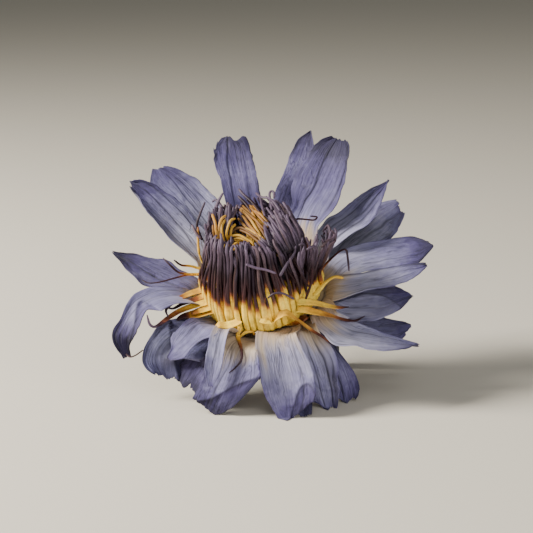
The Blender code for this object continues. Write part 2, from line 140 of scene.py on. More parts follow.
GOLD_COMBS = (
    (12, ((262, 246, 24), (267, 238, 25), (268, 228, 26), (268, 217, 27)),
     ((236, 211, 26), (238, 205, 27), (247, 203, 28), (253, 206, 28)), 2.0, 0.4, 0.12, 1.0),
    (6, ((264, 244, 25), (268, 232, 26.5), (268, 218, 28)),
     ((236, 207, 27), (240, 203, 28), (250, 202, 28.5)), 1.0, 0.9, 0.15, 0.7),
    (12, ((256, 245, 21.5), (246, 246, 21), (235, 246, 20.5)),
     ((250, 231, 22), (242, 229, 22), (234, 229, 22.5)), 1.5, 0.3, 0.05, 1.0),
)
# Places on a stamen's colours from its yellow foot to its plum tip. The lighter lilac plum at the tip is
# partly its own colour, partly painted sheen.
RIPENING = (
    (0.0, (0.95, 0.67, 0.085)),
    (0.2, (0.82, 0.46, 0.05)),
    (0.36, (0.27, 0.085, 0.025)),
    (0.52, (0.046, 0.013, 0.014)),
    (0.74, (0.020, 0.008, 0.013)),
    (1.0, (0.092, 0.062, 0.096)),
)


@dataclass
class Blade:
    """A petal or sepal.

    clock, path, width, peak, tip, blunt, curl, roll, pleat, notch and outward are the solid's own values.
    Across the blade, -1 and 1 are its edges, and 1 is the clockwise one. folds holds creases: the places
    across at root and tip, depth, and where along the blade they start and end. ragged is how torn the margin
    is, tone is how dark foot and tip are, and cream is the pale share at the foot.
    before, after and end are places on the outline as seen, in pixels of the picture: the anticlockwise and
    the clockwise edge, each from foot to tip, and the end from the one to the other. The last share of the
    blade, past end_from, stretches to meet the end. turn is a line, as seen, on whose right the blade is
    turned back: turned is how steeply it falls away there and how much darker it is.
    """

    name: str
    whorl: str
    clock: float
    path: tuple
    width: float
    peak: float = 0.62
    tip: float = 0.3
    blunt: float = 1.6
    curl: float = 22.0
    roll: tuple = (0.0, 0.0)
    pleat: float = 0.0
    notch: float = 0.0
    outward: float = 0.0
    ragged: float = 1.0
    folds: tuple = ()
    tone: tuple = (0.4, 0.9)
    cream: float = 0.12
    before: tuple = ()
    after: tuple = ()
    end: tuple = ()
    end_from: float = 0.6
    turn: tuple = ()
    turned: tuple = (0.3, 0.3)


PETALS = (
    Blade("petal_back", "inner", 97, ((-8.5, 24, 27), (-11, 31, 36.5), (-13.5, 38, 46.5)), 14.5, peak=0.8,
          tip=0.75, blunt=4.0, curl=16, notch=0.05, folds=((-0.9, -0.2, 0.35, 0.4, 1.1),
          (0.1, 0.5, 0.2, 0.3, 1.1)), tone=(1.1, 1.2), cream=0.1,
          before=((227, 207), (222, 188), (219.5, 178), (214.5, 165), (214, 158), (214, 150)),
          after=((262, 207), (259.5, 190), (257, 174), (253.5, 158), (250, 145), (247.5, 139)),
          end=((212, 142), (214.5, 150), (217.5, 147), (218.8, 140), (225, 138), (230.5, 136.5),
          (235, 140.5), (239, 137.5), (242, 136), (247, 136.5))),
    Blade("petal_back_right_behind", "outer", 76, ((7.5, 34, 22), (12, 42, 33), (15.5, 48.5, 46)), 13,
          tip=0.15, curl=8, folds=((0.1, 0.3, 0.3, 0.4, 1.0),), tone=(1.0, 1.15), cream=0.05,
          before=((276, 192), (280, 182), (284, 172), (288, 160), (293, 148), (297, 140), (301, 134.5),
          (306, 131.5), (309.5, 129.5)),
          after=((314, 143), (312.5, 137), (310, 130)),
          end=((306, 131.5), (309.5, 129.3), (312, 134)), end_from=0.7),
    Blade("petal_back_right", "inner", 60, ((13, 22.5, 20.3), (19.5, 27, 31.5), (25.5, 32.5, 46.5)), 18,
          peak=0.74, tip=0.45, blunt=2.6, curl=16, pleat=0.4, folds=((-0.2, -0.3, 0.4, 0.3, 1.1),
          (0.2, 0.15, 0.2, 0.35, 0.9), (0.6, 0.85, 0.4, 0.4, 1.1)), tone=(1.22, 1.7), cream=0.3,
          before=((294, 205), (291, 190), (296, 174), (303, 161), (309, 151), (317, 142)),
          after=((317, 226), (324, 219), (331, 210), (337.5, 199), (342, 187), (345.5, 172), (348.5, 161),
          (349.7, 151)),
          end=((316, 142), (320, 138.5), (327, 136.2), (334, 136.5), (341, 140.5), (346.5, 139),
          (347, 142.5), (350, 146), (349.8, 152))),
    Blade("petal_right_upper", "middle", 39, ((22.3, 18.3, 14.3), (32, 22, 21.5), (42.5, 27, 32)), 11.5,
          tip=0.2, curl=4, roll=(1, 3), pleat=0.1, folds=((-0.5, -0.3, 0.4, 0.25, 1.0),
          (0.1, 0.2, 0.45, 0.3, 1.1), (0.5, 0.6, 0.4, 0.3, 0.9)), tone=(-0.1, 0.85), cream=0.16,
          before=((322, 226), (327, 218), (335, 215), (345, 207.5), (357.5, 197.5), (370, 189),
          (385, 180.5), (388, 178.5)),
          after=((329, 251), (340, 243), (352, 233), (363, 227), (374, 217), (381, 203), (387, 190),
          (388.5, 180)),
          end=((384, 181), (388, 178.5), (389, 184)), end_from=0.7),
    Blade("petal_right_upper_behind", "outer", 31, ((26, 24.5, 9), (37, 33.5, 15.5), (48, 40, 22.3)), 16.5,
          peak=0.72, tip=0.4, blunt=2.2, curl=2, roll=(4, 6), folds=((0.2, -0.1, 0.6, 0.3, 0.9),
          (0.5, 0.5, 0.5, 0.3, 1.0)), tone=(-0.35, 0.4), cream=0.1,
          after=((360, 254), (373, 246), (386, 239), (395, 231), (401, 220)),
          end=((384, 203), (391, 195.5), (394.5, 196.5), (398, 203), (400.5, 210.5), (405.5, 213),
          (403, 218), (400, 222))),
    Blade("petal_right_high", "middle", 15, ((28, 10.5, 6.3), (39.5, 13.7, 8.9), (58, 14, 12.5)), 16.5,
          peak=0.66, tip=0.2, curl=3, roll=(-12, -10), ragged=0.4, folds=((0.3, 0.5, 0.3, 0.4, 1.0),),
          tone=(0.1, 1.3), cream=0.14,
          before=((332, 258), (345, 250), (357.5, 245), (371, 241.5), (385, 240), (395, 237.5),
          (412, 236.7), (420, 238.5)),
          after=((345, 277), (365, 272), (383, 268.5), (397, 266), (410, 265), (420, 263), (428, 254)),
          end=((414, 236.7), (421, 238.5), (428, 241.5), (433.5, 246), (431, 250.5), (427, 255),
          (422, 262))),
    Blade("petal_right_mid", "inner", -6, ((28, -2, 1), (40, -2.1, 3.2), (54, -2.2, 7.8)), 14, tip=0.15,
          curl=16, folds=((0.3, 0.3, 0.2, 0.4, 1.0),), tone=(0.0, 0.65), cream=0.16,
          before=((345, 274.5), (361, 273), (372.5, 270.6), (387.5, 267.5), (407.5, 264.4), (421, 263.8)),
          after=((332, 301), (345, 297), (365, 291), (382, 288), (397, 285), (412, 280), (420, 273.5),
          (426, 265.5)),
          end=((420, 264), (426.5, 265), (422, 272)), end_from=0.7,
          turn=((424, 265.6), (408, 265.8), (388, 269), (373, 272), (361, 274.6), (345, 276.5)),
          turned=(0.5, 0.5)),
    Blade("petal_right_low", "middle", -17, ((28, -4.5, -4.7), (38, -5.5, -4.2), (49.5, -6.5, -1.2)), 15.5,
          tip=0.2, curl=14, folds=((0.3, 0.3, 0.3, 0.3, 1.0),), tone=(0.12, 0.7), cream=0.1,
          before=((345, 296), (357.5, 292), (372, 288.5), (382, 286.5), (392.5, 287), (405, 291),
          (412, 295)),
          after=((345, 321), (358, 320), (370, 319), (382, 316.5), (392, 313), (402, 308), (408.5, 301),
          (412, 296.5)),
          end=((405, 291), (412.5, 295.5), (409, 301)), end_from=0.7,
          turn=((402, 309), (400, 307.5), (393.8, 303), (386, 298), (376, 295.5), (364, 295), (356, 297)),
          turned=(0.3, 0.25)),
    Blade("petal_right_low_behind", "outer", -22, ((28, -2, -12.5), (38, 0, -14.5), (49.5, 2, -14)), 13,
          tip=0.2, curl=14, tone=(0.2, 0.8), cream=0.0,
          before=((372, 315), (382, 316), (390, 318), (402, 321), (410, 325)),
          after=((360, 326), (370, 331), (382, 337), (392, 339), (402, 340)),
          end=((404, 321.5), (411, 325), (410.5, 329), (407, 331), (406.5, 335), (401.5, 340))),
    Blade("petal_right_front", "inner", -38, ((22.5, -15.5, -9), (31.5, -18, -12.8), (50.5, -18, -16)), 13,
          peak=0.55, tip=0.12, curl=20, roll=(10, 12), folds=((-0.2, -0.4, 0.5, 0.3, 1.0),),
          tone=(-0.1, 0.6), cream=0.2,
          before=((324, 308), (345, 316), (357.5, 323.5), (375, 331), (390, 337.5), (401, 340), (418, 343)),
          after=((322, 332), (333, 343), (345, 345), (357.5, 345.5), (365, 348.5), (382, 350), (395, 349.5),
          (410, 347), (418, 344))),
    Blade("petal_front_right_behind", "outer", -52, ((17.5, -15.5, -14.5), (23, -17.5, -23),
          (26.5, -18, -33.5), (27, -20, -38)), 13.5, peak=0.7, tip=0.4, blunt=2.2, curl=16,
          folds=((0.2, 0.1, 0.5, 0.3, 1.0),), tone=(0.6, 0.9), cream=0.1,
          before=((333, 341), (338, 352), (344, 360), (351, 368), (357, 379), (359.5, 389)),
          end=((359.5, 390), (357, 397), (350, 400), (346.5, 403.5), (341, 400.5), (338, 399), (334, 399))),
    Blade("petal_front_right", "middle", -65, ((13, -20.5, -12.5), (17.5, -23.5, -23), (20.3, -25, -35.4),
          (21, -29.5, -38)), 10.5, peak=0.66, tip=0.35, curl=28, pleat=0.5,
          folds=((-0.4, -0.5, 0.6, 0.25, 1.0), (0.2, 0.2, 0.6, 0.25, 1.0)), tone=(0.1, 0.6), cream=0.3,
          before=((322, 338), (331, 346), (336, 356), (338, 370), (336.5, 380), (339, 390), (338, 400)),
          end=((338.5, 401), (336.5, 407.5), (331, 407.5), (327.5, 410), (321, 406), (316, 403),
          (310, 403))),
    Blade("petal_front", "inner", -84, ((3.5, -25.5, -13), (6.5, -32, -23.5), (8.2, -36.5, -34.5),
          (8.5, -40, -38)), 18, peak=0.58, tip=0.22, blunt=1.7, folds=((-0.6, -0.5, 0.6, 0.3, 1.0),
          (0.3, 0.2, 0.2, 0.3, 1.0)), tone=(0.16, 1.05), cream=0.26,
          before=((296, 333), (300, 343), (306, 356), (312, 370), (315.5, 384), (316, 392)),
          after=((256, 332), (255.5, 347), (257.5, 362), (260, 377), (264, 392), (269, 405), (273, 411)),
          end=((316, 392), (314, 401), (307, 407), (300, 412.5), (294, 417.5), (286, 420.5), (279, 418.5),
          (273, 411)),
          turn=((294, 404), (297, 393), (301, 386), (307, 383), (312, 386), (316, 394)),
          turned=(0.12, 0.15)),
    Blade("petal_front_left", "middle", -106, ((-9.5, -24.5, -14.7), (-12.3, -28.5, -22),
          (-15.5, -32, -29.5), (-18.5, -35, -35.6), (-20.5, -38.5, -38)), 17, peak=0.7, tip=0.35, blunt=2.0,
          curl=12, roll=(4, 14), folds=((0.0, 0.3, 0.4, 0.3, 1.0),), tone=(0.25, 0.9), cream=0.42,
          before=((257, 339), (257.5, 352), (259, 366), (260.5, 378)),
          end=((259.5, 379), (252, 388), (240, 401), (229, 410), (219, 415), (211, 413), (203, 406),
          (195, 399.5)), end_from=0.45,
          turn=((190, 401), (205, 399.5), (215, 396), (231, 387), (245, 381), (262, 376)),
          turned=(0.35, 0.45)),
    Blade("petal_front_left_fold", "inner", -125, ((-15, -24, -9.4), (-17, -30.3, -17.5),
          (-18.5, -34.5, -25.5)), 6.5, curl=36, folds=((0.0, 0.1, 0.4, 0.3, 1.0),), tone=(0.15, 0.5),
          cream=0.35),
    Blade("petal_left_low", "inner", -147, ((-22, -16.5, -10), (-26.5, -22.5, -13.5), (-32.5, -24.5, -19)),
          13.5, curl=28, folds=((0.2, 0.3, 0.4, 0.3, 1.0),), tone=(0.5, 0.75),
          before=((218, 333), (210, 337), (203, 339.5), (192, 347), (182, 357)),
          after=((216, 325), (207, 318.5), (195, 319), (185, 324.5), (176, 332), (170, 340), (172, 350),
          (178, 357))),
    Blade("petal_left_low_behind", "outer", -125, ((-15.7, -17.2, -17.7), (-21, -18.5, -24.5),
          (-26, -20, -33)), 17.5, peak=0.7, tip=0.6, blunt=2.4, curl=18, ragged=2.2,
          folds=((0.2, 0.1, 0.2, 0.3, 1.0),), tone=(0.95, 1.25), cream=0.0,
          before=((226, 345), (222, 358), (217, 372), (213, 385), (212, 391)),
          after=((205, 340), (194, 347), (184, 356), (178, 364), (175.5, 372), (175, 376)),
          end=((213, 391), (205, 397), (197, 396), (194.5, 393), (190.5, 384.5), (187, 387), (182.5, 389),
          (180, 382), (175, 376))),
    Blade("petal_left_arched", "inner", 183, ((-27, -3.5, -3), (-35, -7, -2), (-43, -11, -5),
          (-48.5, -14, -13.5), (-47.5, -14, -21)), 10.5, peak=0.5, curl=36, roll=(0, 25),
          folds=((0.5, 0.6, 0.9, 0.2, 1.0), (0.05, 0.15, 0.5, 0.45, 1.0), (-0.5, -0.4, 0.4, 0.5, 1.0)),
          tone=(0.45, 1.75), cream=0.15,
          before=((180, 306), (164, 309), (147, 309), (138, 329.5), (129, 347), (131, 355)),
          after=((180, 287.5), (173.5, 286.5), (157, 285.5), (146, 287), (134, 294), (127, 305),
          (120.7, 319), (112, 332), (114.5, 346), (123, 356)),
          turn=((128, 349), (130, 340), (134, 325), (135.5, 312), (138, 303), (142, 300.5), (147, 303)),
          turned=(0.25, 0.35)),
    Blade("petal_left", "middle", 168, ((-27.5, 6, -1.5), (-39, 9.5, 3), (-53, 12.5, 9.5)), 13.5, peak=0.55,
          tip=0.2, curl=16, folds=((-0.5, -0.2, 0.4, 0.2, 0.9),), tone=(0.75, 1.5), cream=0.1,
          before=((190, 290.5), (172, 288), (155, 286), (141, 283.6), (132, 275.6), (120.7, 262),
          (115, 257)),
          after=((180, 270), (169, 262), (146, 256), (130, 253), (118, 251.5)),
          end=((117.5, 261), (113.5, 256.5), (113.2, 251.5), (116, 250.3), (118.8, 251), (119.5, 253.3),
          (123, 251.5)), end_from=0.7),
    Blade("petal_left_upper", "inner", 141, ((-24, 17, 8.5), (-34.5, 22.5, 19), (-48, 28.5, 31)), 17,
          peak=0.66, tip=0.22, curl=20, pleat=0.8, folds=((0.2, 0.85, 0.9, 0.2, 1.05),
          (-0.1, 0.25, 0.4, 0.3, 1.0), (-0.5, -0.35, 0.25, 0.3, 0.9)), tone=(-0.15, 1.0),
          before=((200, 265), (187, 255), (173, 244), (156, 224.6), (142, 208), (138, 199), (130, 189)),
          after=((198, 222), (187, 208), (173, 196), (160, 187), (151, 182.5), (137, 179.5)),
          end=((133, 193), (128.5, 189), (131.5, 185.5), (130, 181), (135, 179.5), (141, 180.5)),
          end_from=0.7),
    Blade("petal_left_upper_behind", "middle", 121, ((-18.5, 26, 13.5), (-28, 34.5, 24), (-39, 42, 34)), 15,
          peak=0.7, tip=0.4, blunt=2.2, curl=10, folds=((-0.1, 0.1, 0.3, 0.3, 1.0),), tone=(-0.2, 0.75),
          cream=0.08,
          before=((178, 206), (166, 197), (156, 190), (149.5, 181)),
          after=((218, 199), (210, 190), (200, 181), (187.5, 174), (176.5, 169)),
          end=((149.5, 181), (148.5, 176), (150, 171.5), (153.6, 169), (158, 169.5), (165, 166.3),
          (171, 168), (177, 169.5))),
)
SEPALS = (
    Blade("sepal_left", "sepal", -168, ((-26, -5, -14), (-33.3, -10, -15.8), (-37, -13.5, -21.3),
          (-34.5, -14.5, -28.7)), 17.5, peak=0.6, tip=0.4, curl=24, folds=((0.1, 0.0, 0.3, 0.3, 1.0),),
          tone=(0.3, 0.65), cream=0.1,
          before=((212, 343), (205, 352), (196, 362), (188, 372), (182, 381)),
          after=((203, 319), (185, 319), (169, 321.5), (160, 328), (151.5, 337.5), (143.5, 350),
          (142.5, 363), (148, 371), (155, 375)),
          end=((184, 382), (178, 381), (174, 377), (168, 380), (163, 376), (155, 374), (148, 371)),
          turn=((178, 376), (174, 362), (171, 350), (170, 334)), turned=(0.5, 0.4)),
    Blade("sepal_front", "sepal", -79, ((5, -22, -18.5), (9.5, -29.5, -27.5), (13, -35.5, -35.2)), 9.5,
          tip=0.35, curl=14, tone=(0.8, 1.0), cream=0.1),
    Blade("sepal_back_right", "sepal", 42, ((21, 23, -13), (23, 26, -24), (23.5, 27, -35.5),
          (24.5, 32, -38)), 13, curl=20, outward=1.5, tone=(0.6, 0.8), cream=0.2,
          after=((318, 284), (329, 286), (335, 300), (336, 313), (337, 327), (337, 340), (337.5, 354),
          (339, 368))),
    Blade("sepal_back_left", "sepal", 138, ((-20, 22.5, -15), (-22.5, 25, -25), (-24, 26.5, -35.5),
          (-25.5, 31.5, -38)), 13, curl=20, outward=1.5, tone=(0.6, 0.8), cream=0.2),
)
# The single stamens that stray from the crowd. Each has its places as seen, with their heights, its half
# width at its foot, middle and tip, how ripe it is there, and how flat it is. Where "by radius" follows, the
# places have their distance from the bloom's axis, on the viewer's side, in place of their height.
STRAYS = (
    (((208, 271, 4), (198, 268, 6), (190, 266, 8), (181, 265, 11), (174, 260, 14)), (0.8, 0.8, 0.35),
     (0, 0.15, 0.8), 0.35),
    (((208, 274, 4), (198, 274, 5.5), (188, 274, 7.5), (178, 272, 10), (170, 265, 13), (163, 258, 15)),
     (0.7, 0.6, 0.3), (0, 0.35, 0.9), 0.5),
    (((207, 276, 3.5), (196, 275, 5), (187, 275, 7), (175, 278, 8.5), (160, 282, 9.5), (149, 283, 9.5),
     (142, 280, 10)), (0.45, 0.35, 0.28), (0.1, 0.55, 0.8), 0.7),
    (((210, 288, 3), (200, 292, 3.5), (192, 294, 4), (180, 299, 4.5), (170, 306, 5), (166, 311, 5),
     (168, 317, 4.5)), (1.7, 1.1, 0.3), (0.05, 0.36, 0.95), 0.22),
    (((213, 293, 2.6), (204, 297, 3), (194, 301, 3.2), (182, 305, 3.8), (173, 309, 4.5), (167, 307, 5.5),
     (166, 302, 6)), (1.6, 1.0, 0.3), (0.05, 0.4, 0.95), 0.22),
    (((216, 301, 2.4), (205, 304, 2.5), (194, 307, 2.8), (180, 312, 3.5), (168, 319, 4), (156, 327, 4.5),
     (150, 325, 5.5), (147, 315, 6.5)), (1.8, 1.2, 0.3), (0, 0.3, 1), 0.25),
    (((218, 305, 2), (211, 308, 2), (203, 311, 2), (192, 314, 2.5)), (1.9, 1.6, 0.8), (0, 0.05, 0.3), 0.2),
    (((222, 309, 1), (210, 312, 0.8), (197, 315.5, 0.8), (185, 317, 1.6), (177, 320, 2.2)), (2.4, 2.6, 0.8),
     (0.02, 0.1, 0.5), 0.22),
    # A brown strip along the foot of the ring's front: painted shade, for the shade under the ring.
    (((282, 323.5, -2), (290, 324, -3), (298, 322.5, -3.6), (307, 317.5, -3)), (1.6, 2.0, 1.2),
     (0.15, 0.32, 0.42), 0.3),
    (((241, 321, 2.2), (234, 325, 1.8), (226, 327, 1.8), (217, 326, 3)), (1.6, 2.0, 1.6), (0, 0, 0.05),
     0.25),
    (((260, 321, 3.2), (265, 322.5, 2.7), (270, 324, 1.4)), (1.3, 1.6, 1.4), (0, 0, 0), 0.3),
    (((241, 325, 21.7), (239, 331, 23.7), (238, 337, 25), (241, 348, 31.6), (241.5, 359, 35.4),
     (236, 367, 37.3), (229, 373, 39)), (0.8, 0.5, 0.3), (0.1, 0.4, 0.95), 0.45, "by radius"),
    (((240, 337, -3), (243, 334, -2), (247, 332, -1.8), (253, 332, -2), (254, 335, -3)), (0.6, 0.7, 0.4),
     (0.1, 0.15, 0.3), 0.5),
    (((274, 323, 23), (279, 317, 23.5), (286, 314, 23.6), (293, 318, 24.3), (302, 324, 25), (312, 331, 27.5),
     (322, 337, 31), (333, 345, 34.5)), (2.0, 0.9, 0.35), (0, 0.25, 0.5), 0.3, "by radius"),
    (((298, 304, 22.6), (304, 303, 23.4), (313, 304, 25), (328, 307, 27), (339, 308, 29), (349, 307, 31)),
     (1.8, 1.6, 0.3), (0, 0.1, 0.5), 0.22, "by radius"),
    (((297, 311, 22.8), (303, 311, 24), (313, 313, 26), (328, 316, 28.5), (343, 320, 31), (355, 321, 34),
     (365, 316, 35.5)), (2.0, 1.2, 0.25), (0, 0.2, 0.8), 0.22, "by radius"),
    (((314, 295, 3), (320, 289, 3.5), (326, 282, 4.5), (334, 277, 5.5), (343, 278, 5)), (0.9, 0.7, 0.55),
     (0, 0.1, 0.25), 0.4),
    (((319, 272, 5), (325, 265, 7), (332, 258, 10), (340, 251, 13), (346, 250, 14), (348, 260, 11),
     (349, 271, 8)), (0.6, 0.45, 0.35), (0.3, 0.6, 0.9), 0.7),
    (((290, 221, 22), (298, 219, 21), (307, 219.5, 20.5), (314, 220, 20), (317, 217, 20.3), (310, 216, 21)),
     (0.45, 0.4, 0.3), (0.6, 0.6, 0.7), 0.7),
    (((202, 240, 20), (197, 226, 24), (200, 214, 27), (205, 202, 30)), (0.5, 0.45, 0.4), (0.8, 0.75, 0.85),
     0.8),
    (((192, 225, 25), (196, 233, 23.5), (201, 239, 22)), (0.4, 0.5, 0.5), (1, 1, 1), 0.8),
    (((198, 227, 24.6), (198, 239, 21.5), (199, 252, 17.7), (201, 259, 14.5), (204, 265, 11.7)),
     (0.4, 0.45, 0.5), (0.4, 0.2, 0.05), 0.6),
    (((206, 234, 23), (209, 221, 26), (213, 214, 27.5), (218, 215, 27.5)), (0.45, 0.45, 0.4),
     (0.75, 0.7, 0.7), 0.8),
    (((246, 264.5, 22.2), (256, 268, 20.8), (266, 270, 19.8), (276, 273.5, 18.8)), (0.55, 0.55, 0.45),
     (1, 1, 1), 0.85),
    (((296, 246, 21.6), (294, 254, 19.8), (287, 264, 18.4), (280, 276, 16)), (0.5, 0.55, 0.55), (1, 1, 1),
     0.85),
    (((263, 219, 27), (259, 211, 28.2), (252, 202, 28.9), (243, 194, 29.8), (239, 189, 30.6)),
     (0.5, 0.5, 0.5), (0.6, 0.7, 1), 0.85),
    (((257, 222, 26.4), (252, 213, 27.2), (246, 204, 28.2), (238, 196, 29.4)), (0.45, 0.5, 0.5),
     (0.4, 0.6, 0.9), 0.85),
    (((280, 211, 29.5), (274, 202, 30.7), (268, 198, 29.9), (261, 197, 29.6), (256, 193, 29.5)),
     (0.5, 0.5, 0.5), (1, 1, 1), 0.85),
    (((265, 216, 28.5), (262, 206, 29), (260, 197, 29.6), (257, 195, 29.4)), (0.45, 0.45, 0.4),
     (1, 0.9, 0.9), 0.85),
    (((272, 210, 29), (270, 200, 30), (269.5, 194, 31), (271.5, 191, 31.2), (274, 193, 31),
     (274, 198, 30.4)), (0.5, 0.45, 0.45), (1, 1, 1), 0.85),
    (((214, 219, 26.5), (215, 211, 27.3), (218, 202, 29.5), (223, 193, 31.2)), (0.6, 0.7, 0.4), (1, 1, 1),
     0.7),
    (((222, 214, 27), (221, 206, 28.5), (216, 200, 29.5), (212, 202, 29)), (0.5, 0.5, 0.4), (1, 1, 1), 0.8),
    (((299, 239, 20), (297, 229, 22), (293, 218, 25.2), (288, 210, 27.8), (283, 202, 29.4)),
     (0.5, 0.55, 0.5), (0.8, 0.75, 1), 0.85),
    (((321.5, 284, 20.5), (319.5, 272, 22), (324.5, 262, 25), (326, 250, 26), (322, 239, 26)),
     (0.9, 0.5, 0.5), (0.2, 0.75, 1), 0.8, "by radius"),
    (((305, 301, 22.5), (310.5, 285, 23), (313, 269, 24), (313.5, 254, 24.5), (318, 239, 24.5)),
     (0.45, 0.55, 0.5), (0.5, 0.7, 1), 0.85, "by radius"),
    (((309, 272, 22.5), (312, 258, 23.5), (310, 247, 24), (306, 237, 23.5)), (0.5, 0.55, 0.5),
     (0.7, 0.9, 1), 0.85, "by radius"),
    (((308, 286, 23), (302, 274, 23.8), (298.5, 263, 24), (299.5, 252, 23)), (0.5, 0.55, 0.5),
     (0.6, 0.85, 1), 0.85, "by radius"),
    (((323, 265, 24.5), (326, 256, 26), (330, 246, 27), (335, 241, 27), (334.5, 235, 27)),
     (0.5, 0.5, 0.45), (0.6, 0.8, 0.9), 0.85, "by radius"),
    (((321.5, 247, 26), (327, 241, 27), (333, 238, 27.5), (334.5, 234, 27.5), (332, 230.5, 27)),
     (0.5, 0.5, 0.45), (0.8, 0.9, 0.9), 0.85, "by radius"),
    (((126, 354, -4.4), (130, 357, -5.0), (136, 355, -5.8), (143, 350, -6.3)), (0.3, 0.28, 0.25),
     (0.9, 0.8, 0.8), 0.8),
    (((268, 298, 11), (274, 293.5, 12.2), (283, 293.5, 11.4), (294, 299, 7)), (0.4, 0.5, 0.5),
     (0.8, 0.95, 1), 0.8),
)
# Strays flatter than LEAF_FLAT are leaf-like strips. Those that start left of LEAF_SHADE get more painted
# shade.
LEAF_FLAT = 0.35
LEAF_SHADE = 225
# The heights among which a stray's is looked for where its radius is given.
LIKELY_HEIGHTS = np.linspace(-10, 30, 401)
# Single golden filaments in the hollow: places as seen, with their heights, and how golden each is.
GOLD_STRAYS = (
    (((225, 245, 21), (223.5, 238, 23), (222, 230, 25), (224, 222, 26.4), (229, 217.5, 26.6)), 1.0),
    (((229, 243, 21), (227, 236, 24.5), (227.5, 228, 27), (230.5, 221, 28.2), (235, 219, 27.8)), 1.0),
    (((221, 243, 22), (219, 235, 25.2), (219.5, 227, 27.5), (222, 219, 29), (226, 215.5, 28.8)), 0.75),
    (((233, 242, 21), (230.5, 235, 24.5), (231.5, 228, 26.4), (235, 224, 26.6)), 0.9),
    (((218, 240, 24), (216.5, 232, 26.5), (215, 223, 28.6), (212.5, 214.5, 29.8)), 0.7),
    (((216, 241, 23), (214, 233, 26), (213, 225, 28)), 0.5),
    (((228, 237.5, 23.6), (232, 235.8, 24.2), (239, 235.6, 24.2), (246, 238.5, 23.6), (252, 242.5, 22.6),
     (254, 246, 21.6)), 1.0),
    (((230, 234, 24.6), (234.5, 229.5, 25.4), (241, 228, 25.6), (248, 231, 25.2), (257, 236.5, 24.6),
     (266, 243.5, 23.4)), 0.35),
    (((234, 238.5, 23.2), (240, 238.2, 23.4), (246, 241, 22.8), (250, 245, 21.8)), 1.0),
    (((240, 230, 25.2), (247, 233, 25), (256, 239.5, 24), (264, 246, 22.8)), 0.5),
    (((246, 228, 25.8), (254, 232, 25.8), (262, 238.5, 25), (267, 244, 24)), 0.8),
)


def unit(v):
    return v / np.linalg.norm(v, axis=-1, keepdims=True)


TO_VIEWER = unit(np.array((0.2, -0.75, 0.63)))
ABOVE_VIEWER = unit(np.array((0.0, -0.45, 1.0)))


def soft_step(x, low, high):
    share = np.clip((x - low) / (high - low), 0, 1)
    return share * share * (3 - 2 * share)


def noise_line(seed, x):
    """Smooth noise from -1 to 1 along x, with about one bump to a unit."""
    values = np.random.default_rng(seed).uniform(-1, 1, 128)
    cell = np.floor(x).astype(int)
    share = soft_step(x - cell, 0, 1)
    return values[cell % 128] * (1 - share) + values[(cell + 1) % 128] * share


def side_noise(s, seed, x):
    """Noise along a blade, with one line of it for each side."""
    return np.where(s > 0, noise_line(seed, x), noise_line(seed + 1, x))


def noise_field(seed, x, y):
    """Smooth noise from -1 to 1 over a plane, with about one bump to a unit."""
    values = np.random.default_rng(seed).uniform(-1, 1, (64, 64))
    i, j = np.floor(x).astype(int), np.floor(y).astype(int)
    u, v = soft_step(x - i, 0, 1), soft_step(y - j, 0, 1)
    near, far = (values[i % 64, row % 64] * (1 - u) + values[(i + 1) % 64, row % 64] * u
                 for row in (j, j + 1))
    return near * (1 - v) + far * v


def ring_point(clock, radius, height):
    """The point at a clock angle, radius and height about the bloom's axis."""
    turn = math.radians(clock)
    return radius * (math.cos(turn) * ACROSS + math.sin(turn) * BEHIND) + height * BLOOM_AXIS


def plan_point(x, y, height):
    """The point at x to the right, y to the back and a height, in the bloom's own frame."""
    return x * ACROSS + y * BEHIND + height * BLOOM_AXIS


def seen(across, down, height):
    """The point seen at a pixel of the picture, at a height in the bloom's frame."""
    place = (np.array((across, down)) - PICTURE_MIDDLE) * PIXEL_STEP
    point = np.zeros(3)
    for _ in range(4):
        nearer = 1 + point @ VIEW_AHEAD / VIEW_DISTANCE
        plan = np.linalg.solve(PLAN_SEEN, place * nearer - CENTRE_OFFSET - height * RISE_SEEN)
        point = plan_point(*plan, height)
    return point


def height_in_front(across, down, radius):
    """The height, to a tenth, at which a pixel shows a place at a radius on the viewer's side of the axis."""
    points = np.array([seen(across, down, height) for height in LIKELY_HEIGHTS])
    behind = points @ BEHIND
    miss = np.abs(np.hypot(points @ ACROSS, behind) - radius)
    return LIKELY_HEIGHTS[np.argmin(np.where(behind < 0, miss, np.inf))]


def to_picture(points):
    """Where the viewer sees points, in pixels of the picture."""
    nearer = 1 + points @ VIEW_AHEAD / VIEW_DISTANCE
    place = np.stack((points @ VIEW_RIGHT, points @ VIEW_UP), axis=-1)
    return (place + CENTRE_OFFSET) / nearer[..., None] / PIXEL_STEP + PICTURE_MIDDLE


def smooth_line(points, count):
    """count points, evenly spaced, on a Catmull-Rom line through the points."""
    p = np.array(points, float)
    p = np.vstack((2 * p[0] - p[1], p, 2 * p[-1] - p[-2]))
    t = np.linspace(0, 1, 24, endpoint=False)[:, None]
    runs = []
    for a, b, c, d in zip(p, p[1:], p[2:], p[3:]):
        runs.append(0.5 * (2 * b + (c - a) * t + (2 * a - 5 * b + 4 * c - d) * t**2
                           + (3 * b - a - 3 * c + d) * t**3))
    fine = np.vstack((*runs, p[-2:-1]))
    reach = np.concatenate(([0], np.cumsum(np.linalg.norm(np.diff(fine, axis=0), axis=1))))
    wanted = np.linspace(0, reach[-1], count)
    return np.stack([np.interp(wanted, reach, values) for values in fine.T], axis=1)


def seen_line(places, count):
    """A smooth line through seen places, each with its height."""
    return smooth_line([seen(*place) for place in places], count)


def line_frames(line, facing):
    """Unit tangents along a line, normals nearest to facing, and the sideways directions."""
    tangents = unit(np.gradient(line, axis=0))
    normals = unit(facing - (tangents @ facing)[:, None] * tangents)
    return tangents, normals, np.cross(tangents, normals)


def flat_cross(a, b):
    return a[..., 0] * b[..., 1] - a[..., 1] * b[..., 0]


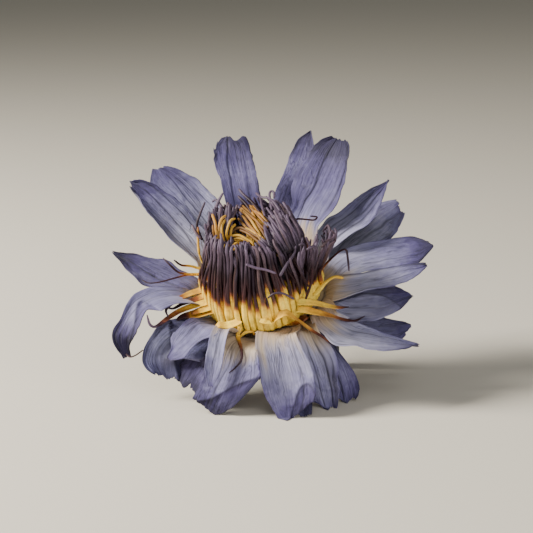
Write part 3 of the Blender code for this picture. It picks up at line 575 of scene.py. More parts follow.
def crossings(starts, ways, outline):
    """The shares at which ways from starts, as seen, cross an outline, and infinity where they don't."""
    edge = smooth_line(outline, 6 * len(outline))
    way, side = ways[..., None, :], edge[1:] - edge[:-1]
    turn = flat_cross(way, side)
    turn = np.where(np.abs(turn) < 1e-9, 1e-9, turn)
    gap = edge[:-1] - starts[..., None, :]
    place = flat_cross(gap, way) / turn
    return np.where((place >= 0) & (place <= 1), flat_cross(gap, side) / turn, np.inf)


def softened(values):
    """The mean of each value and its two neighbours on each side."""
    padded = np.pad(values, 2, mode="edge")
    return sum(padded[k:k + len(values)] for k in range(5)) / 5


def past_line(places, line):
    """How many millimetres places lie to the right of a line's way, as seen: less than 0 is to its left."""
    edge = smooth_line(line, 8 * len(line))
    way = edge[1:] - edge[:-1]
    gap = places[..., None, :] - edge[:-1]
    share = np.clip((gap * way).sum(-1) / (way * way).sum(-1), 0, 1)
    apart = np.linalg.norm(gap - share[..., None] * way, axis=-1)
    nearest = apart.argmin(axis=-1)[..., None]
    return (np.take_along_axis(np.sign(flat_cross(way, gap)) * apart, nearest, -1) * PIXEL)[..., 0]


def side_shares(line, edge, outline, t):
    """How far the way from a blade's middle to its edge goes to an outline, as a share for each row."""
    if not outline:
        return np.ones(len(t))
    share = crossings(to_picture(line), to_picture(edge) - to_picture(line), outline)
    share = np.where((share > 0.4) & (share < 2.4), share, np.inf)
    best = share[np.arange(len(t)), np.abs(share - 1).argmin(axis=1)]
    found = np.isfinite(best) & (t > OUTLINE_FROM)
    return softened(np.interp(t, (0.08, *t[found]), (1, *best[found])))


def cut_at_end(grid, outline, start):
    """The sheet with its columns drawn out or back from start on, so that they end on an outline as seen."""
    rows, columns = grid.shape[:2]
    t = np.linspace(0, 1, rows)
    past = grid[-1] - grid[-2]
    longer = np.concatenate((grid, grid[-1] + past * np.arange(1, rows // 3)[:, None, None]))
    places = to_picture(longer)
    share = crossings(places[:-1], places[1:] - places[:-1], outline)
    share = np.where((share >= 0) & (share <= 1), share, np.inf).min(axis=2)
    reach = (np.arange(len(longer) - 1)[:, None] + share) / (rows - 1)
    reach = np.where(reach > start * 0.6, reach, np.inf)
    best = reach[np.abs(reach - 1).argmin(axis=0), np.arange(columns)]
    found = np.isfinite(best)
    ends = np.interp(np.arange(columns), np.arange(columns)[found], best[found])
    cut = np.empty_like(grid)
    for j, end in enumerate(ends):
        first = min(start, end * 0.7)
        wanted = np.where(t < first, t, first + (t - first) * (end - first) / (1 - first)) * (rows - 1)
        for k in range(3):
            cut[:, j, k] = np.interp(wanted, np.arange(len(longer)), longer[:, j, k])
    return cut


def cone_radius(height):
    share = (height - CONE_FOOT_HEIGHT) / (RIM_HEIGHT - CONE_FOOT_HEIGHT)
    return CONE_FOOT_RADIUS + share * (RIM_RADIUS - CONE_FOOT_RADIUS)


def width_share(t, blade):
    rising = np.sin(math.pi / 2 * np.clip(t / blade.peak, 0, 1)) ** 1.1
    past = np.clip((t - blade.peak) / (1 - blade.peak), 0, 1)
    falling = np.cos(math.pi / 2 * past**blade.blunt)
    return np.where(t < blade.peak, ROOT_SHARE + (1 - ROOT_SHARE) * rising,
                    blade.tip + (1 - blade.tip) * falling)


def blade_folds(blade, seed, t, s):
    """A blade's crease relief, and how deep in a crease each point is, for the painted shade there."""
    draw = Random(seed)
    folds = list(blade.folds)
    for _ in range(SMALL_CREASES):
        at = draw.uniform(-0.9, 0.9)
        start = draw.uniform(0.2, 0.65)
        head, depth = at + draw.uniform(-0.25, 0.25), draw.uniform(0.05, 0.24)
        folds.append((at, head, depth, start, start + draw.uniform(0.2, 0.5)))
    relief = np.zeros(np.broadcast(t, s).shape)
    painted_crease_shade = np.zeros_like(relief)
    for k, (foot, head, depth, start, end) in enumerate(folds):
        bends = 0.09 * noise_line(seed + 31 * k, t * 4) + 0.03 * noise_line(seed + 7 * k, t * 14)
        x = s - (foot + (head - foot) * t + bends)
        here = soft_step(t, start, start + 0.15) * (1 - soft_step(t, end - 0.15, end))
        relief += 0.42 * depth * here * -np.tanh(x / 0.03) * np.exp(-np.abs(x) / 0.13)
        thin = (0.32 if k < len(blade.folds) else 0.18) / blade.width * 2
        line = here * np.exp(-((x - 0.3 * thin) / thin) ** 2) * min(1.0, depth / 0.4)
        painted_crease_shade = np.maximum(painted_crease_shade, line)
    return relief, painted_crease_shade


def blade_sheet(blade, seed):
    """A blade's middle surface as a grid of points, its marks, and each point's place across and along it.

    The marks are the share along the blade, its rim, the painted shade in its creases and how much darker it
    is.
    """
    root_height = WHORLS[blade.whorl]
    root = ring_point(blade.clock, cone_radius(root_height) + 2 * SEAT_GAP, root_height)
    shoulder = ring_point(blade.clock, SHOULDER_RADIUS, SHOULDERS[blade.whorl])
    line = smooth_line((root, shoulder, *blade.path), SHEET_ROWS)
    length = np.linalg.norm(np.diff(line, axis=0), axis=1).sum()
    facing = unit(BLOOM_AXIS + blade.outward * ring_point(blade.clock, 1, 0))
    tangents, normals, sideways = line_frames(line, facing)
    t = np.linspace(0, 1, SHEET_ROWS)[:, None]
    s = np.linspace(-1, 1, SHEET_COLUMNS)[None, :]
    roll = np.radians(np.interp(t, (0, 0.25, 0.65, 1), (0, 0, *blade.roll)))
    across = np.cos(roll) * sideways + np.sin(roll) * normals
    out = np.cos(roll) * normals - np.sin(roll) * sideways

    # The margin wanders, and tears open towards the tip. Then it is drawn to the outline as seen.
    half = blade.width / 2 * width_share(t, blade)
    torn = 0.05 * side_noise(s, seed + 1, t * 6) + 0.04 * side_noise(s, seed + 3, t * 34)
    reach = 1 + blade.ragged * soft_step(t, 0.3, 0.9) * torn * np.abs(s) ** 3
    bend = np.radians(blade.curl) * np.clip(0.3 + 2.5 * t, 0, 1)
    edge_aside, edge_lift = half * np.sin(bend) / bend, half * (1 - np.cos(bend)) / bend
    before, after = (side_shares(line, line + way * edge_aside * across + edge_lift * out, outline, t[:, 0])
                     for way, outline in ((-1, blade.before), (1, blade.after)))
    reach = reach * (1 + (np.where(s > 0, after[:, None], before[:, None]) - 1) * np.abs(s))

    # Across, the blade is bowed, pleated, creased and waved.
    aside = half * reach * np.sin(bend * s) / bend
    relief, painted_crease_shade = blade_folds(blade, seed, t, s)
    waves = (0.45 * noise_field(seed + 5, t * 5, s * 1.6 + 20)
             + 0.16 * noise_field(seed + 6, t * 16, s * 4 + 20))
    free = soft_step(t, 0.2, 0.45) * min(1.0, blade.width / 14)
    lift = (half * (1 - np.cos(bend * s)) / bend
            + blade.pleat * np.sin(math.pi * 1.5 * s) * np.sin(math.pi * t) ** 0.5
            + free * (relief + waves)
            + EDGE_WAVE * soft_step(t, 0.3, 0.8) * side_noise(s, seed + 8, t * 8) * np.abs(s) ** 4)

    slip = blade.notch * length * (1 - np.cos(2 * math.pi * s)) / 2 * t**6
    grid = (line[:, None] - slip[..., None] * tangents[:, None] + aside[..., None] * across[:, None]
            + lift[..., None] * out[:, None])
    grid = np.maximum(grid, LOWEST)
    if blade.end:
        grid = cut_at_end(grid, blade.end, blade.end_from)
    jags = noise_line(seed + 10, s * 5 + 40) + 0.6 * noise_line(seed + 11, s * 13 + 40)
    grid = grid - (blade.ragged * 0.45 * jags * t**14)[..., None] * tangents[:, None]
    darker = np.zeros_like(painted_crease_shade)
    if blade.turn:
        past = past_line(to_picture(grid), blade.turn)
        fall, much_darker = blade.turned
        rise = 0.5 * np.exp(-(past / 0.9) ** 2) - fall * np.clip(past, 0, 6)
        grid = grid + rise[..., None] * -VIEW_AHEAD
        darker = much_darker * soft_step(past, -0.1, 0.6)
        # A dark line of painted shade along the turn.
        painted_crease_shade = np.maximum(painted_crease_shade, 0.8 * np.exp(-((past - 0.25) / 0.35) ** 2))
    grid = np.maximum(grid, LOWEST)

    rim = np.maximum(soft_step(np.abs(s), 0.86, 1.0), soft_step(t, 0.955, 1.0)) * soft_step(t, 0.15, 0.5)
    marks = np.stack(np.broadcast_arrays(t, rim, painted_crease_shade, darker), axis=-1)
    flow = np.stack(np.broadcast_arrays(s * blade.width / 2, t * length), axis=-1)
    return grid, marks, flow


def thickened(grid):
    """The closed solid about a sheet, as points and quads. It thins out to its margin."""
    rows, columns = grid.shape[:2]
    normals = unit(np.cross(np.gradient(grid, axis=0), np.gradient(grid, axis=1)))
    i, j = np.arange(rows)[:, None], np.arange(columns)[None, :]
    inner = np.minimum(np.minimum(i + 1, rows - i), np.minimum(j + 1, columns - j))
    offset = normals * (SHEET_THICKNESS / 2 * np.clip(inner / 3, 0.35, 1))[..., None]
    points = np.concatenate(((grid + offset).reshape(-1, 3), (grid - offset).reshape(-1, 3)))
    index = np.arange(rows * columns).reshape(rows, columns)
    a, b, c, d = index[:-1, :-1], index[:-1, 1:], index[1:, 1:], index[1:, :-1]
    first = np.stack((a, d, c, b), axis=-1).reshape(-1, 4)
    second = np.stack((a, b, c, d), axis=-1).reshape(-1, 4) + rows * columns
    loop = np.concatenate((index[0], index[1:, -1], index[-1, -2::-1], index[-2:0:-1, 0]))
    after = np.roll(loop, -1)
    rim = np.stack((loop, after, after + rows * columns, loop + rows * columns), axis=-1)
    return points, np.concatenate((first, second, rim))


def add_object(name, data):
    made = bpy.data.objects.new(name, data)
    bpy.context.scene.collection.objects.link(made)
    return made


def make_piece(name, points, faces, material, slot, nodes, flow=None, **marks):
    """A piece of the bloom, in place of nodes of the solids. Each point has its marks and its flow."""
    mesh = bpy.data.meshes.new(name)
    mesh.from_pydata(((points + BLOOM_CENTRE) * MM).tolist(), [], faces)
    mesh.materials.append(material)
    mesh.shade_smooth()
    for key, values in marks.items():
        attribute = mesh.color_attributes.new(key, "FLOAT_COLOR", "POINT")
        attribute.data.foreach_set("color", values.astype(np.float32).ravel())
    if flow is not None:
        corners = np.empty(len(mesh.loops), np.int32)
        mesh.loops.foreach_get("vertex_index", corners)
        layer = mesh.uv_layers.new(name="flow")
        layer.data.foreach_set("uv", flow[corners].astype(np.float32).ravel())
    mesh.validate()
    made = add_object(name, mesh)
    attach(made, "root")
    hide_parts(*nodes)


def make_blades(blades, material, slot, first_seed):
    """A piece for each blade. kind tells its underside, the first half of its points, and its pale share."""
    for k, blade in enumerate(blades):
        sheet, marks, flow = blade_sheet(blade, first_seed + 101 * k)
        points, faces = thickened(sheet)
        marks = np.tile(marks.reshape(-1, 4), (2, 1))
        flow = np.tile(flow.reshape(-1, 2), (2, 1)) / FLOW_UNIT + (0.37 * k, 0.0)
        foot, tip = blade.tone
        marks[:, 3] += foot + (min(tip, DARK_TONE) - foot) * soft_step(marks[:, 0], 0.25, 1.0)
        marks[:, 3] += 1.3 * max(tip - DARK_TONE, 0) * soft_step(marks[:, 0], 0.7, 1.0)
        kind = np.tile((0.0, blade.cream, 0.0, 1.0), (len(marks), 1))
        kind[:len(marks) // 2, 0] = 1.0
        make_piece(blade.name + "_skin", points, faces.tolist(), material, slot, (blade.name,), flow,
                   marks=marks, kind=kind)


def ring_faces(rows, sides):
    """The numbers of points in rings, those of the next points round, and the quads between the rings."""
    index = np.arange(rows * sides).reshape(rows, sides)
    after = np.roll(index, -1, axis=1)
    return index, after, np.stack((index[:-1], after[:-1], after[1:], index[1:]), axis=-1).reshape(-1, 4)


class Crowd:
    """Many stamens in one mesh, marked at each point with ripe, a random shade, gold and painted shade."""

    def __init__(self):
        self.points, self.faces, self.marks, self.count = [], [], [], 0

    def take(self, points, marks, *faces):
        """Takes in a shape, whose faces count from its own first point."""
        self.points.append(points)
        self.marks.append(marks)
        for group in faces:
            self.faces += (group + self.count).tolist()
        self.count += len(points)

    def add(self, line, radius, flat, ripe, shade, gold, dusk, sides=7, facing=TO_VIEWER, fold=0.0):
        """A tube along a line, with a radius at each point. flat squeezes it, fold bends it to a trough."""
        rows = len(line)
        _, normals, aside = line_frames(line, facing)
        turn = np.arange(sides) * 2 * math.pi / sides
        out = np.cos(turn) * np.broadcast_to(flat, rows)[:, None] + fold * np.abs(np.sin(turn))
        ring = out[..., None] * normals[:, None] + np.sin(turn)[None, :, None] * aside[:, None]
        tube = line[:, None] + ring * radius[:, None, None]
        ends = np.stack((line[0], line[-1] + unit(line[-1] - line[-2]) * radius[-1] * 0.6))
        index, after, quads = ring_faces(rows, sides)
        fans = (np.column_stack((after[0], index[0], np.full(sides, rows * sides))),
                np.column_stack((index[-1], after[-1], np.full(sides, rows * sides + 1))))
        each = np.stack([np.broadcast_to(mark, rows) for mark in (ripe, shade, gold, dusk)], axis=-1)
        marks = np.concatenate((np.repeat(each, sides, axis=0), each[:1], each[-1:]))
        self.take(np.concatenate((tube.reshape(-1, 3), ends)), marks, quads, *fans)

    def make(self, name, material, slot, *nodes):
        points, marks = np.concatenate(self.points), np.concatenate(self.marks)
        make_piece(name, points, self.faces, material, slot, nodes, marks=marks)


def wrapped(clock):
    """The same clock angle from -180 to 180."""
    return (clock + 180) % 360 - 180


def near_clock(clock, middle, low, high):
    """From 0 to 1 towards a clock angle. low and high are the cosines at which it starts and is full."""
    return float(soft_step(math.cos(math.radians(clock - middle)), low, high))


def crown(clock):
    """The wall's shoulder at a clock angle: radius, height, the tips' way beyond it, the rise behind it."""
    return [np.interp(wrapped(clock), CROWN[:, 0], column) for column in CROWN[:, 1:].T]


def hollow(clock):
    """Where the hollow's slope starts, near its bottom, and ends, under the shoulder: radius and height."""
    radius, height, *_, rise = crown(clock)
    return (0.38 * radius, 20.0 + 3.0 * rise), (radius - 6.5, height - 3.4 + 3.0 * rise)


def ring_radius(clock):
    """The radius of the stamens' ring at its foot: it is drawn in at the right."""
    return 22.0 - 2.5 * near_clock(clock, -10, 0.2, 1.0)


def wobble(line, draw, amount):
    """A line with a few slow bends of its own."""
    t = np.linspace(0, 1, len(line))
    seed = draw.randrange(10**6)
    moves = np.stack([noise_line(seed + k, t * 3.2 + 5 * k) for k in range(3)], axis=-1)
    return line + amount * moves * soft_step(t, 0.15, 0.5)[:, None]


def tapered(radius, t):
    """The radius along a filament, which is thinner at its tip."""
    return radius * np.interp(t, (0, 0.9, 1), (1, 1, 0.7))


def wall_stamens(crowd, draw, count, inset, base_width, ripe_from, ripe_over, dusk, clocks):
    """One round of the wall: yellow ribbed feet, then dark filaments that bend in at the top."""
    steps = 26
    t = np.linspace(0, 1, steps)
    first, last = clocks
    for k in range(count):
        clock = first + (last - first) * (k + 0.5 + draw.uniform(-0.24, 0.24)) / count + inset * 4
        radius, height, *way, rise = crown(clock)
        lean = draw.gauss(0, 3.2) + 7.0 * near_clock(clock, 148, 0.4, 1.0)
        height = height + rise * inset + draw.uniform(-1.4, 0.8)
        if draw.random() < 0.12:
            height = height * draw.uniform(0.62, 0.9)
        radius = radius - 0.85 * inset + draw.uniform(-0.6, 0.4)
        ring = ring_radius(clock) - inset
        lift = 2.6 * near_clock(clock, -15, 0.2, 0.85) if inset == 0 else 0.0
        slack = 0.5 - 2.2 * near_clock(clock, 25, 0.5, 1.0)
        places = [ring_point(clock + turn, out, up) for turn, out, up in (
            (0.0, ring - 2.6, lift - 4.0), (0.0, ring - 0.3, lift - 2.0), (0.0, ring, lift + 1.2),
            (0.1 * lean, ring - 0.1, 5.0),
            (0.4 * lean, 0.58 * ring + 0.42 * radius + slack, 0.45 * height + 2.5),
            (0.85 * lean, radius + 0.25 + 0.4 * slack, height - 3.0), (lean, radius, height),
        )]
        beyond = plan_point(*way) * max(draw.uniform(0.55, 1.12) * (1 - inset / 13), 0.25)
        aside = plan_point(draw.uniform(-0.9, 0.9), draw.uniform(-0.9, 0.9), draw.uniform(-0.5, 0.9))
        shoulder = places[-1]
        places += [shoulder + 0.5 * beyond + 0.5 * BLOOM_AXIS, shoulder + beyond + aside]
        line = wobble(smooth_line(places, steps), draw, 0.6)
        thin = draw.uniform(0.42, 0.6)
        foot = base_width / 2 * draw.uniform(0.75, 1.25)
        yellow = np.interp(wrapped(clock), *YELLOW_REACH)
        start = (ripe_from + yellow + draw.uniform(-0.08, 0.06)) * 30 / (height + 8)
        width = np.interp(t, (0, 0.05, start, start + 0.1, start + 0.26, 0.75, 0.95, 1),
                          (0.8 * foot, foot, 0.92 * foot, 0.3 * foot + 0.6 * thin, 0.9 * thin, thin,
                           1.05 * thin, 0.75 * thin))
        flat = np.interp(t, (0, start, start + 0.2, 1), (0.45, 0.5, 0.85, 0.85))
        over = start + ripe_over * draw.uniform(0.8, 1.7)
        ripe = 0.62 * soft_step(t, start - 0.02, over) + 0.38 * soft_step(t, over, 0.97)
        crowd.add(line, width, flat, ripe, draw.random(), 0.0, dusk, sides=8, facing=ring_point(clock, 1, 0))


def splayed_stamens(crowd, draw, count):
    """The looser stamens at the right, which stand away from the wall and curl at their tips."""
    steps = 28
    t = np.linspace(0, 1, steps)
    for k in range(count):
        foot_clock = -60 + 64 * (k + draw.uniform(0.1, 0.9)) / count
        clock = foot_clock + 9 + draw.uniform(-6, 6)
        outer = draw.random()
        tall = np.interp(clock, (-50, -38, -20, 4), (26.5, 26, 23.0, 17.5)) - draw.uniform(0, 4.5)
        out = np.interp(clock, (-50, -38, -20, 4), (21.5, 24.5, 26.5, 26.0)) - 4.0 * (1 - outer)
        curl = draw.choice((-1, 1, 1)) * draw.uniform(0.6, 1.7)
        ring = ring_radius(foot_clock)
        places = [
            (foot_clock, ring - 1.6, -2.0), (foot_clock, ring - 0.1, 2.5), (foot_clock + 1, ring + 0.2, 7.0),
            (0.6 * foot_clock + 0.4 * clock, 0.65 * ring + 0.35 * out, 0.55 * tall),
            (clock, out, 0.86 * tall), (clock + 2.5 * curl, out + 0.9, tall),
            (clock + 6 * curl, out + 0.3, tall + 0.2), (clock + 8 * curl, out - 0.6, tall - 1.6),
        ]
        line = smooth_line([ring_point(*p) for p in places[:draw.choice((5, 6, 7, 7, 8))]], steps)
        line = wobble(line, draw, 0.6)
        thin = draw.uniform(0.46, 0.6)
        foot = draw.uniform(0.85, 1.2)
        start = draw.uniform(0.2, 0.32)
        radius = np.interp(t, (0, 0.08, start, start + 0.1, 0.92, 1),
                           (foot, foot, foot, thin, thin, 0.75 * thin))
        flat = np.interp(t, (0, start, start + 0.1, 1), (0.5, 0.5, 0.85, 0.85))
        over = start + draw.uniform(0.1, 0.2)
        gold = 0.75 * (1 - outer) if draw.random() < 0.2 else 0.0
        ripe = (0.68 * soft_step(t, start, over) + 0.32 * soft_step(t, over, 0.8)) * (1 - 0.6 * gold)
        # The inner ones get painted shade, for the crowd about them.
        crowd.add(line, radius, flat, ripe, draw.random(), gold, 0.4 * (1 - outer),
                  facing=ring_point(clock, 1, 0))


def comb(crowd, draw, count, low, high, depth, rise, loose, gold):
    """Combed filaments from one line of seen places to another, in layers down to a depth."""
    steps = 18
    t = np.linspace(0, 1, steps)
    low, high = seen_line(low, 60), seen_line(high, 60)
    for k in range(count):
        share = (k + draw.random()) / count
        other = min(max(share + draw.uniform(-loose, loose), 0), 1)
        below = depth * draw.random()
        root = low[int(share * 59)] - below * BLOOM_AXIS
        astray = plan_point(*[draw.uniform(-0.9, 0.9) for _ in range(3)])
        tip = high[int(other * 59)] - below * BLOOM_AXIS + astray
        tip = tip + (tip - root) * draw.uniform(-0.22, 0.06)
        middle = (root + tip) / 2 + plan_point(draw.uniform(-0.5, 0.5), draw.uniform(-0.5, 0.5), rise)
        line = wobble(smooth_line((root, middle, tip), steps), draw, 0.3)
        radius = tapered(draw.uniform(0.48 if gold else 0.46, 0.6), t)
        golden = gold * draw.uniform(0.75, 1.0)
        ripe = np.clip(1 - golden + soft_step(t, 0.4, 1.0) * draw.uniform(0.0, 0.9) * golden, 0, 1)
        # Painted shade: darker at the root, and the deeper the filament lies.
        dusk = 0.7 * (1 - soft_step(t, 0.0, 0.45)) + (0.25 + 0.1 * gold) * below / depth
        crowd.add(line, radius, 0.85, ripe, draw.random(), golden, dusk)


def make_core(crowd):
    """The inside of the crowd, behind the filaments, with the hollow in its top: a nearly black sheet of
    painted shade.
    """
    sides = 64
    columns = []
    for clock in np.arange(sides) * 360 / sides:
        radius, height, *_ = crown(clock)
        ring = ring_radius(clock)
        bottom, brink = hollow(clock)
        columns.append([ring_point(clock, *place) for place in (
            (ring - 5.5, -1.2), (ring - 4.4, 2.0), (ring - 4.8, 8.0), (0.5 * (13.4 + radius), 0.7 * height),
            (radius - 4.2, height - 2.6), brink, bottom, (0.2, 20.5))])
    rings = np.array(columns).transpose(1, 0, 2)
    points = rings.reshape(-1, 3)
    # Ripe and at full painted shade: nearly black, standing for the shade between and under the filaments.
    crowd.take(points, np.tile((1.0, 0.1, 0.0, 1.0), (len(points), 1)), ring_faces(len(rings), sides)[2])


def gold_strays(crowd, draw):
    for places, golden in GOLD_STRAYS:
        steps = 6 * len(places)
        t = np.linspace(0, 1, steps)
        line = wobble(seen_line(places, steps), draw, 0.15)
        radius = tapered(draw.uniform(0.42, 0.52), t)
        # Painted shade at the root, down in the hollow.
        dusk = 0.55 * (1 - soft_step(t, 0.0, 0.4))
        crowd.add(line, radius, 0.85, 1 - golden, draw.random(), golden, dusk)


def bowl_stamens(crowd, draw, count):
    """Short golden filaments that lie inwards over the near side of the hollow's bottom."""
    steps = 14
    t = np.linspace(0, 1, steps)
    for k in range(count):
        clock = -190 + 150 * (k + draw.random()) / count
        slope = list(zip(*hollow(clock)))
        outer = crown(clock)[0] - draw.uniform(2.6, 7.5)
        inner = outer * draw.uniform(0.05, 0.55)
        turn = draw.uniform(-30, 30)
        places = []
        for share, up in ((0.0, 0.4), (0.5, 1.5), (1.0, 0.9)):
            here = outer + (inner - outer) * share
            places.append(ring_point(clock + turn * share, here, np.interp(here, *slope) + up))
        line = wobble(smooth_line(places, steps), draw, 0.3)
        radius = tapered(draw.uniform(0.45, 0.6), t)
        golden = draw.choice((0.0, 0.2, 0.7, 1.0))
        # Painted shade at the root, and a little all along.
        dusk = 0.6 * (1 - soft_step(t, 0.0, 0.6)) + 0.1
        crowd.add(line, radius, 0.85, 1 - golden, draw.random(), golden, dusk)


def stray_stamens(crowd, draw):
    for places, (foot, middle, tip), ripeness, flat, *by_radius in STRAYS:
        if by_radius:
            places = [(*place[:2], height_in_front(*place)) for place in places]
        steps = 6 * len(places)
        t = np.linspace(0, 1, steps)
        radius = np.interp(t, (0, 0.12, 0.5, 0.96, 1), (0.8 * foot, foot, middle, tip, 0.6 * tip))
        ripe = np.interp(t, (0, 0.5, 1), ripeness)
        if flat < LEAF_FLAT:
            squeeze = (0.1, 0.14, 0.6)
            ripe = ripe + 0.16 * np.abs(noise_line(draw.randrange(10**6), t * 5))
            # Leaf-like strips get painted shade, more of it left of LEAF_SHADE.
            look = {"shade": 0.6, "dusk": 0.25 if places[0][0] < LEAF_SHADE else 0.1, "fold": 0.4}
        else:
            squeeze = (flat, 0.5 * (flat + 0.6), 0.8)
            look = {"shade": draw.random(), "dusk": 0.0}
        crowd.add(seen_line(places, steps), radius, np.interp(t, (0, 0.6, 0.9), squeeze), ripe, gold=0.0,
                  sides=12, facing=ABOVE_VIEWER, **look)


def make_stamens(dark, gold):
    draw = Random(7)
    crowd = Crowd()
    make_core(crowd)
    for values in WALL:
        wall_stamens(crowd, draw, *values)
    splayed_stamens(crowd, draw, 27)
    for values in DARK_COMBS:
        comb(crowd, draw, *values)
    stray_stamens(crowd, draw)
    crowd.make("stamens_dark_crowd", dark, "stamen_dark", "stamens_dark", "stamen_bases")
    inner = Crowd()
    for values in GOLD_COMBS:
        comb(inner, draw, *values)
    gold_strays(inner, draw)
    bowl_stamens(inner, draw, 120)
    inner.make("stamens_gold_crowd", gold, "stamen_gold", "stamens_gold")


class Signal:
    """A number or colour that varies over a surface: an output in a material's node tree, to reckon with."""

    def __init__(self, socket):
        self.socket = socket
        self.tree = socket.id_data

    def maths(self, operation, *others):
        return add_node(self.tree, "Math", self, *others, operation=operation)[0]

    def __add__(self, other):
        return self.maths("ADD", other)

    def __sub__(self, other):
        return self.maths("SUBTRACT", other)

    def __rsub__(self, other):
        return self.maths("MULTIPLY_ADD", -1.0, other)

    def __mul__(self, other):
        return self.maths("MULTIPLY", other)

    def __abs__(self):
        return self.maths("ABSOLUTE")

    def swing(self, amount):
        """Noise as a swing to both sides of 0."""
        return (self - 0.5) * amount

    def ramp(self, *ends):
        """A soft step from low to high, from 0 to 1 or between two given values."""
        return add_node(self.tree, "MapRange", self, *ends, interpolation_type="SMOOTHSTEP")[0]

    def slope(self, *ends):
        """A straight step from low to high, from 0 to 1 or between two given values."""
        return add_node(self.tree, "MapRange", self, *ends, interpolation_type="LINEAR")[0]


def put(socket, value):
    """Links a socket to a signal, or gives it a value. A colour gets its alpha."""
    if isinstance(value, Signal):
        value.tree.links.new(value.socket, socket)
    else:
        socket.default_value = (*value, 1.0) if socket.type == "RGBA" else value


def add_node(tree, kind, *values, **named):
    """A new node's outputs. values go to its inputs in turn, and named ones to its settings and inputs."""
    made = tree.nodes.new("ShaderNode" + kind)
    for key, value in named.items():
        if key in made.inputs:
            put(made.inputs[key], value)
        else:
            setattr(made, key, value)
    for socket, value in zip(made.inputs, values):
        put(socket, value)
    return [Signal(socket) for socket in made.outputs]


def new_material(name):
    material = bpy.data.materials.new(name)
    material.use_nodes = True
    return material, material.node_tree, material.node_tree.nodes["Principled BSDF"]


def finish_material(shader, height, strength, depth, values):
    """Gives a shader its relief, and values to its inputs by name."""
    bump = add_node(shader.id_data, "Bump", Height=height, Strength=strength, Distance=depth)[0]
    for name, value in {"Normal": bump, **values}.items():
        put(shader.inputs[name], value)


def marks_of(tree, name):
    """The four marks that each point of a piece has under a name."""
    marks = tree.nodes.new("ShaderNodeAttribute")
    marks.attribute_name = name
    return *add_node(tree, "SeparateColor", Signal(marks.outputs["Color"])), Signal(marks.outputs["Alpha"])


def mix(share, a, b, blend="MIX"):
    """From colour a to colour b by a share. At least one of the three is a signal."""
    tree = next(value for value in (share, a, b) if isinstance(value, Signal)).tree
    made = tree.nodes.new("ShaderNodeMix")
    made.data_type = "RGBA"
    made.blend_type = blend
    for number, value in ((0, share), (6, a), (7, b)):
        put(made.inputs[number], value)
    return Signal(made.outputs[2])


def shaded(colour, shade):
    """A colour times a shade."""
    return mix(1.0, colour, add_node(colour.tree, "CombineColor", shade, shade, shade)[0], "MULTIPLY")


def streaks(flow, across, along, detail, offset, twist=0.0):
    """Noise that is drawn out along a blade."""
    place = add_node(flow.tree, "VectorMath", flow, (across, along, 1.0), (offset, offset * 0.7, 0.0),
                     operation="MULTIPLY_ADD")[0]
    return add_node(flow.tree, "TexNoise", Vector=place, Scale=1.0, Detail=detail, Roughness=0.6,
                    Distortion=twist)[0]


def grain(tree, scale, detail):
    """Even noise through a piece."""
    place = Signal(tree.nodes.new("ShaderNodeTexCoord").outputs["Object"])
    return add_node(tree, "TexNoise", Vector=place, Scale=scale, Detail=detail)[0]


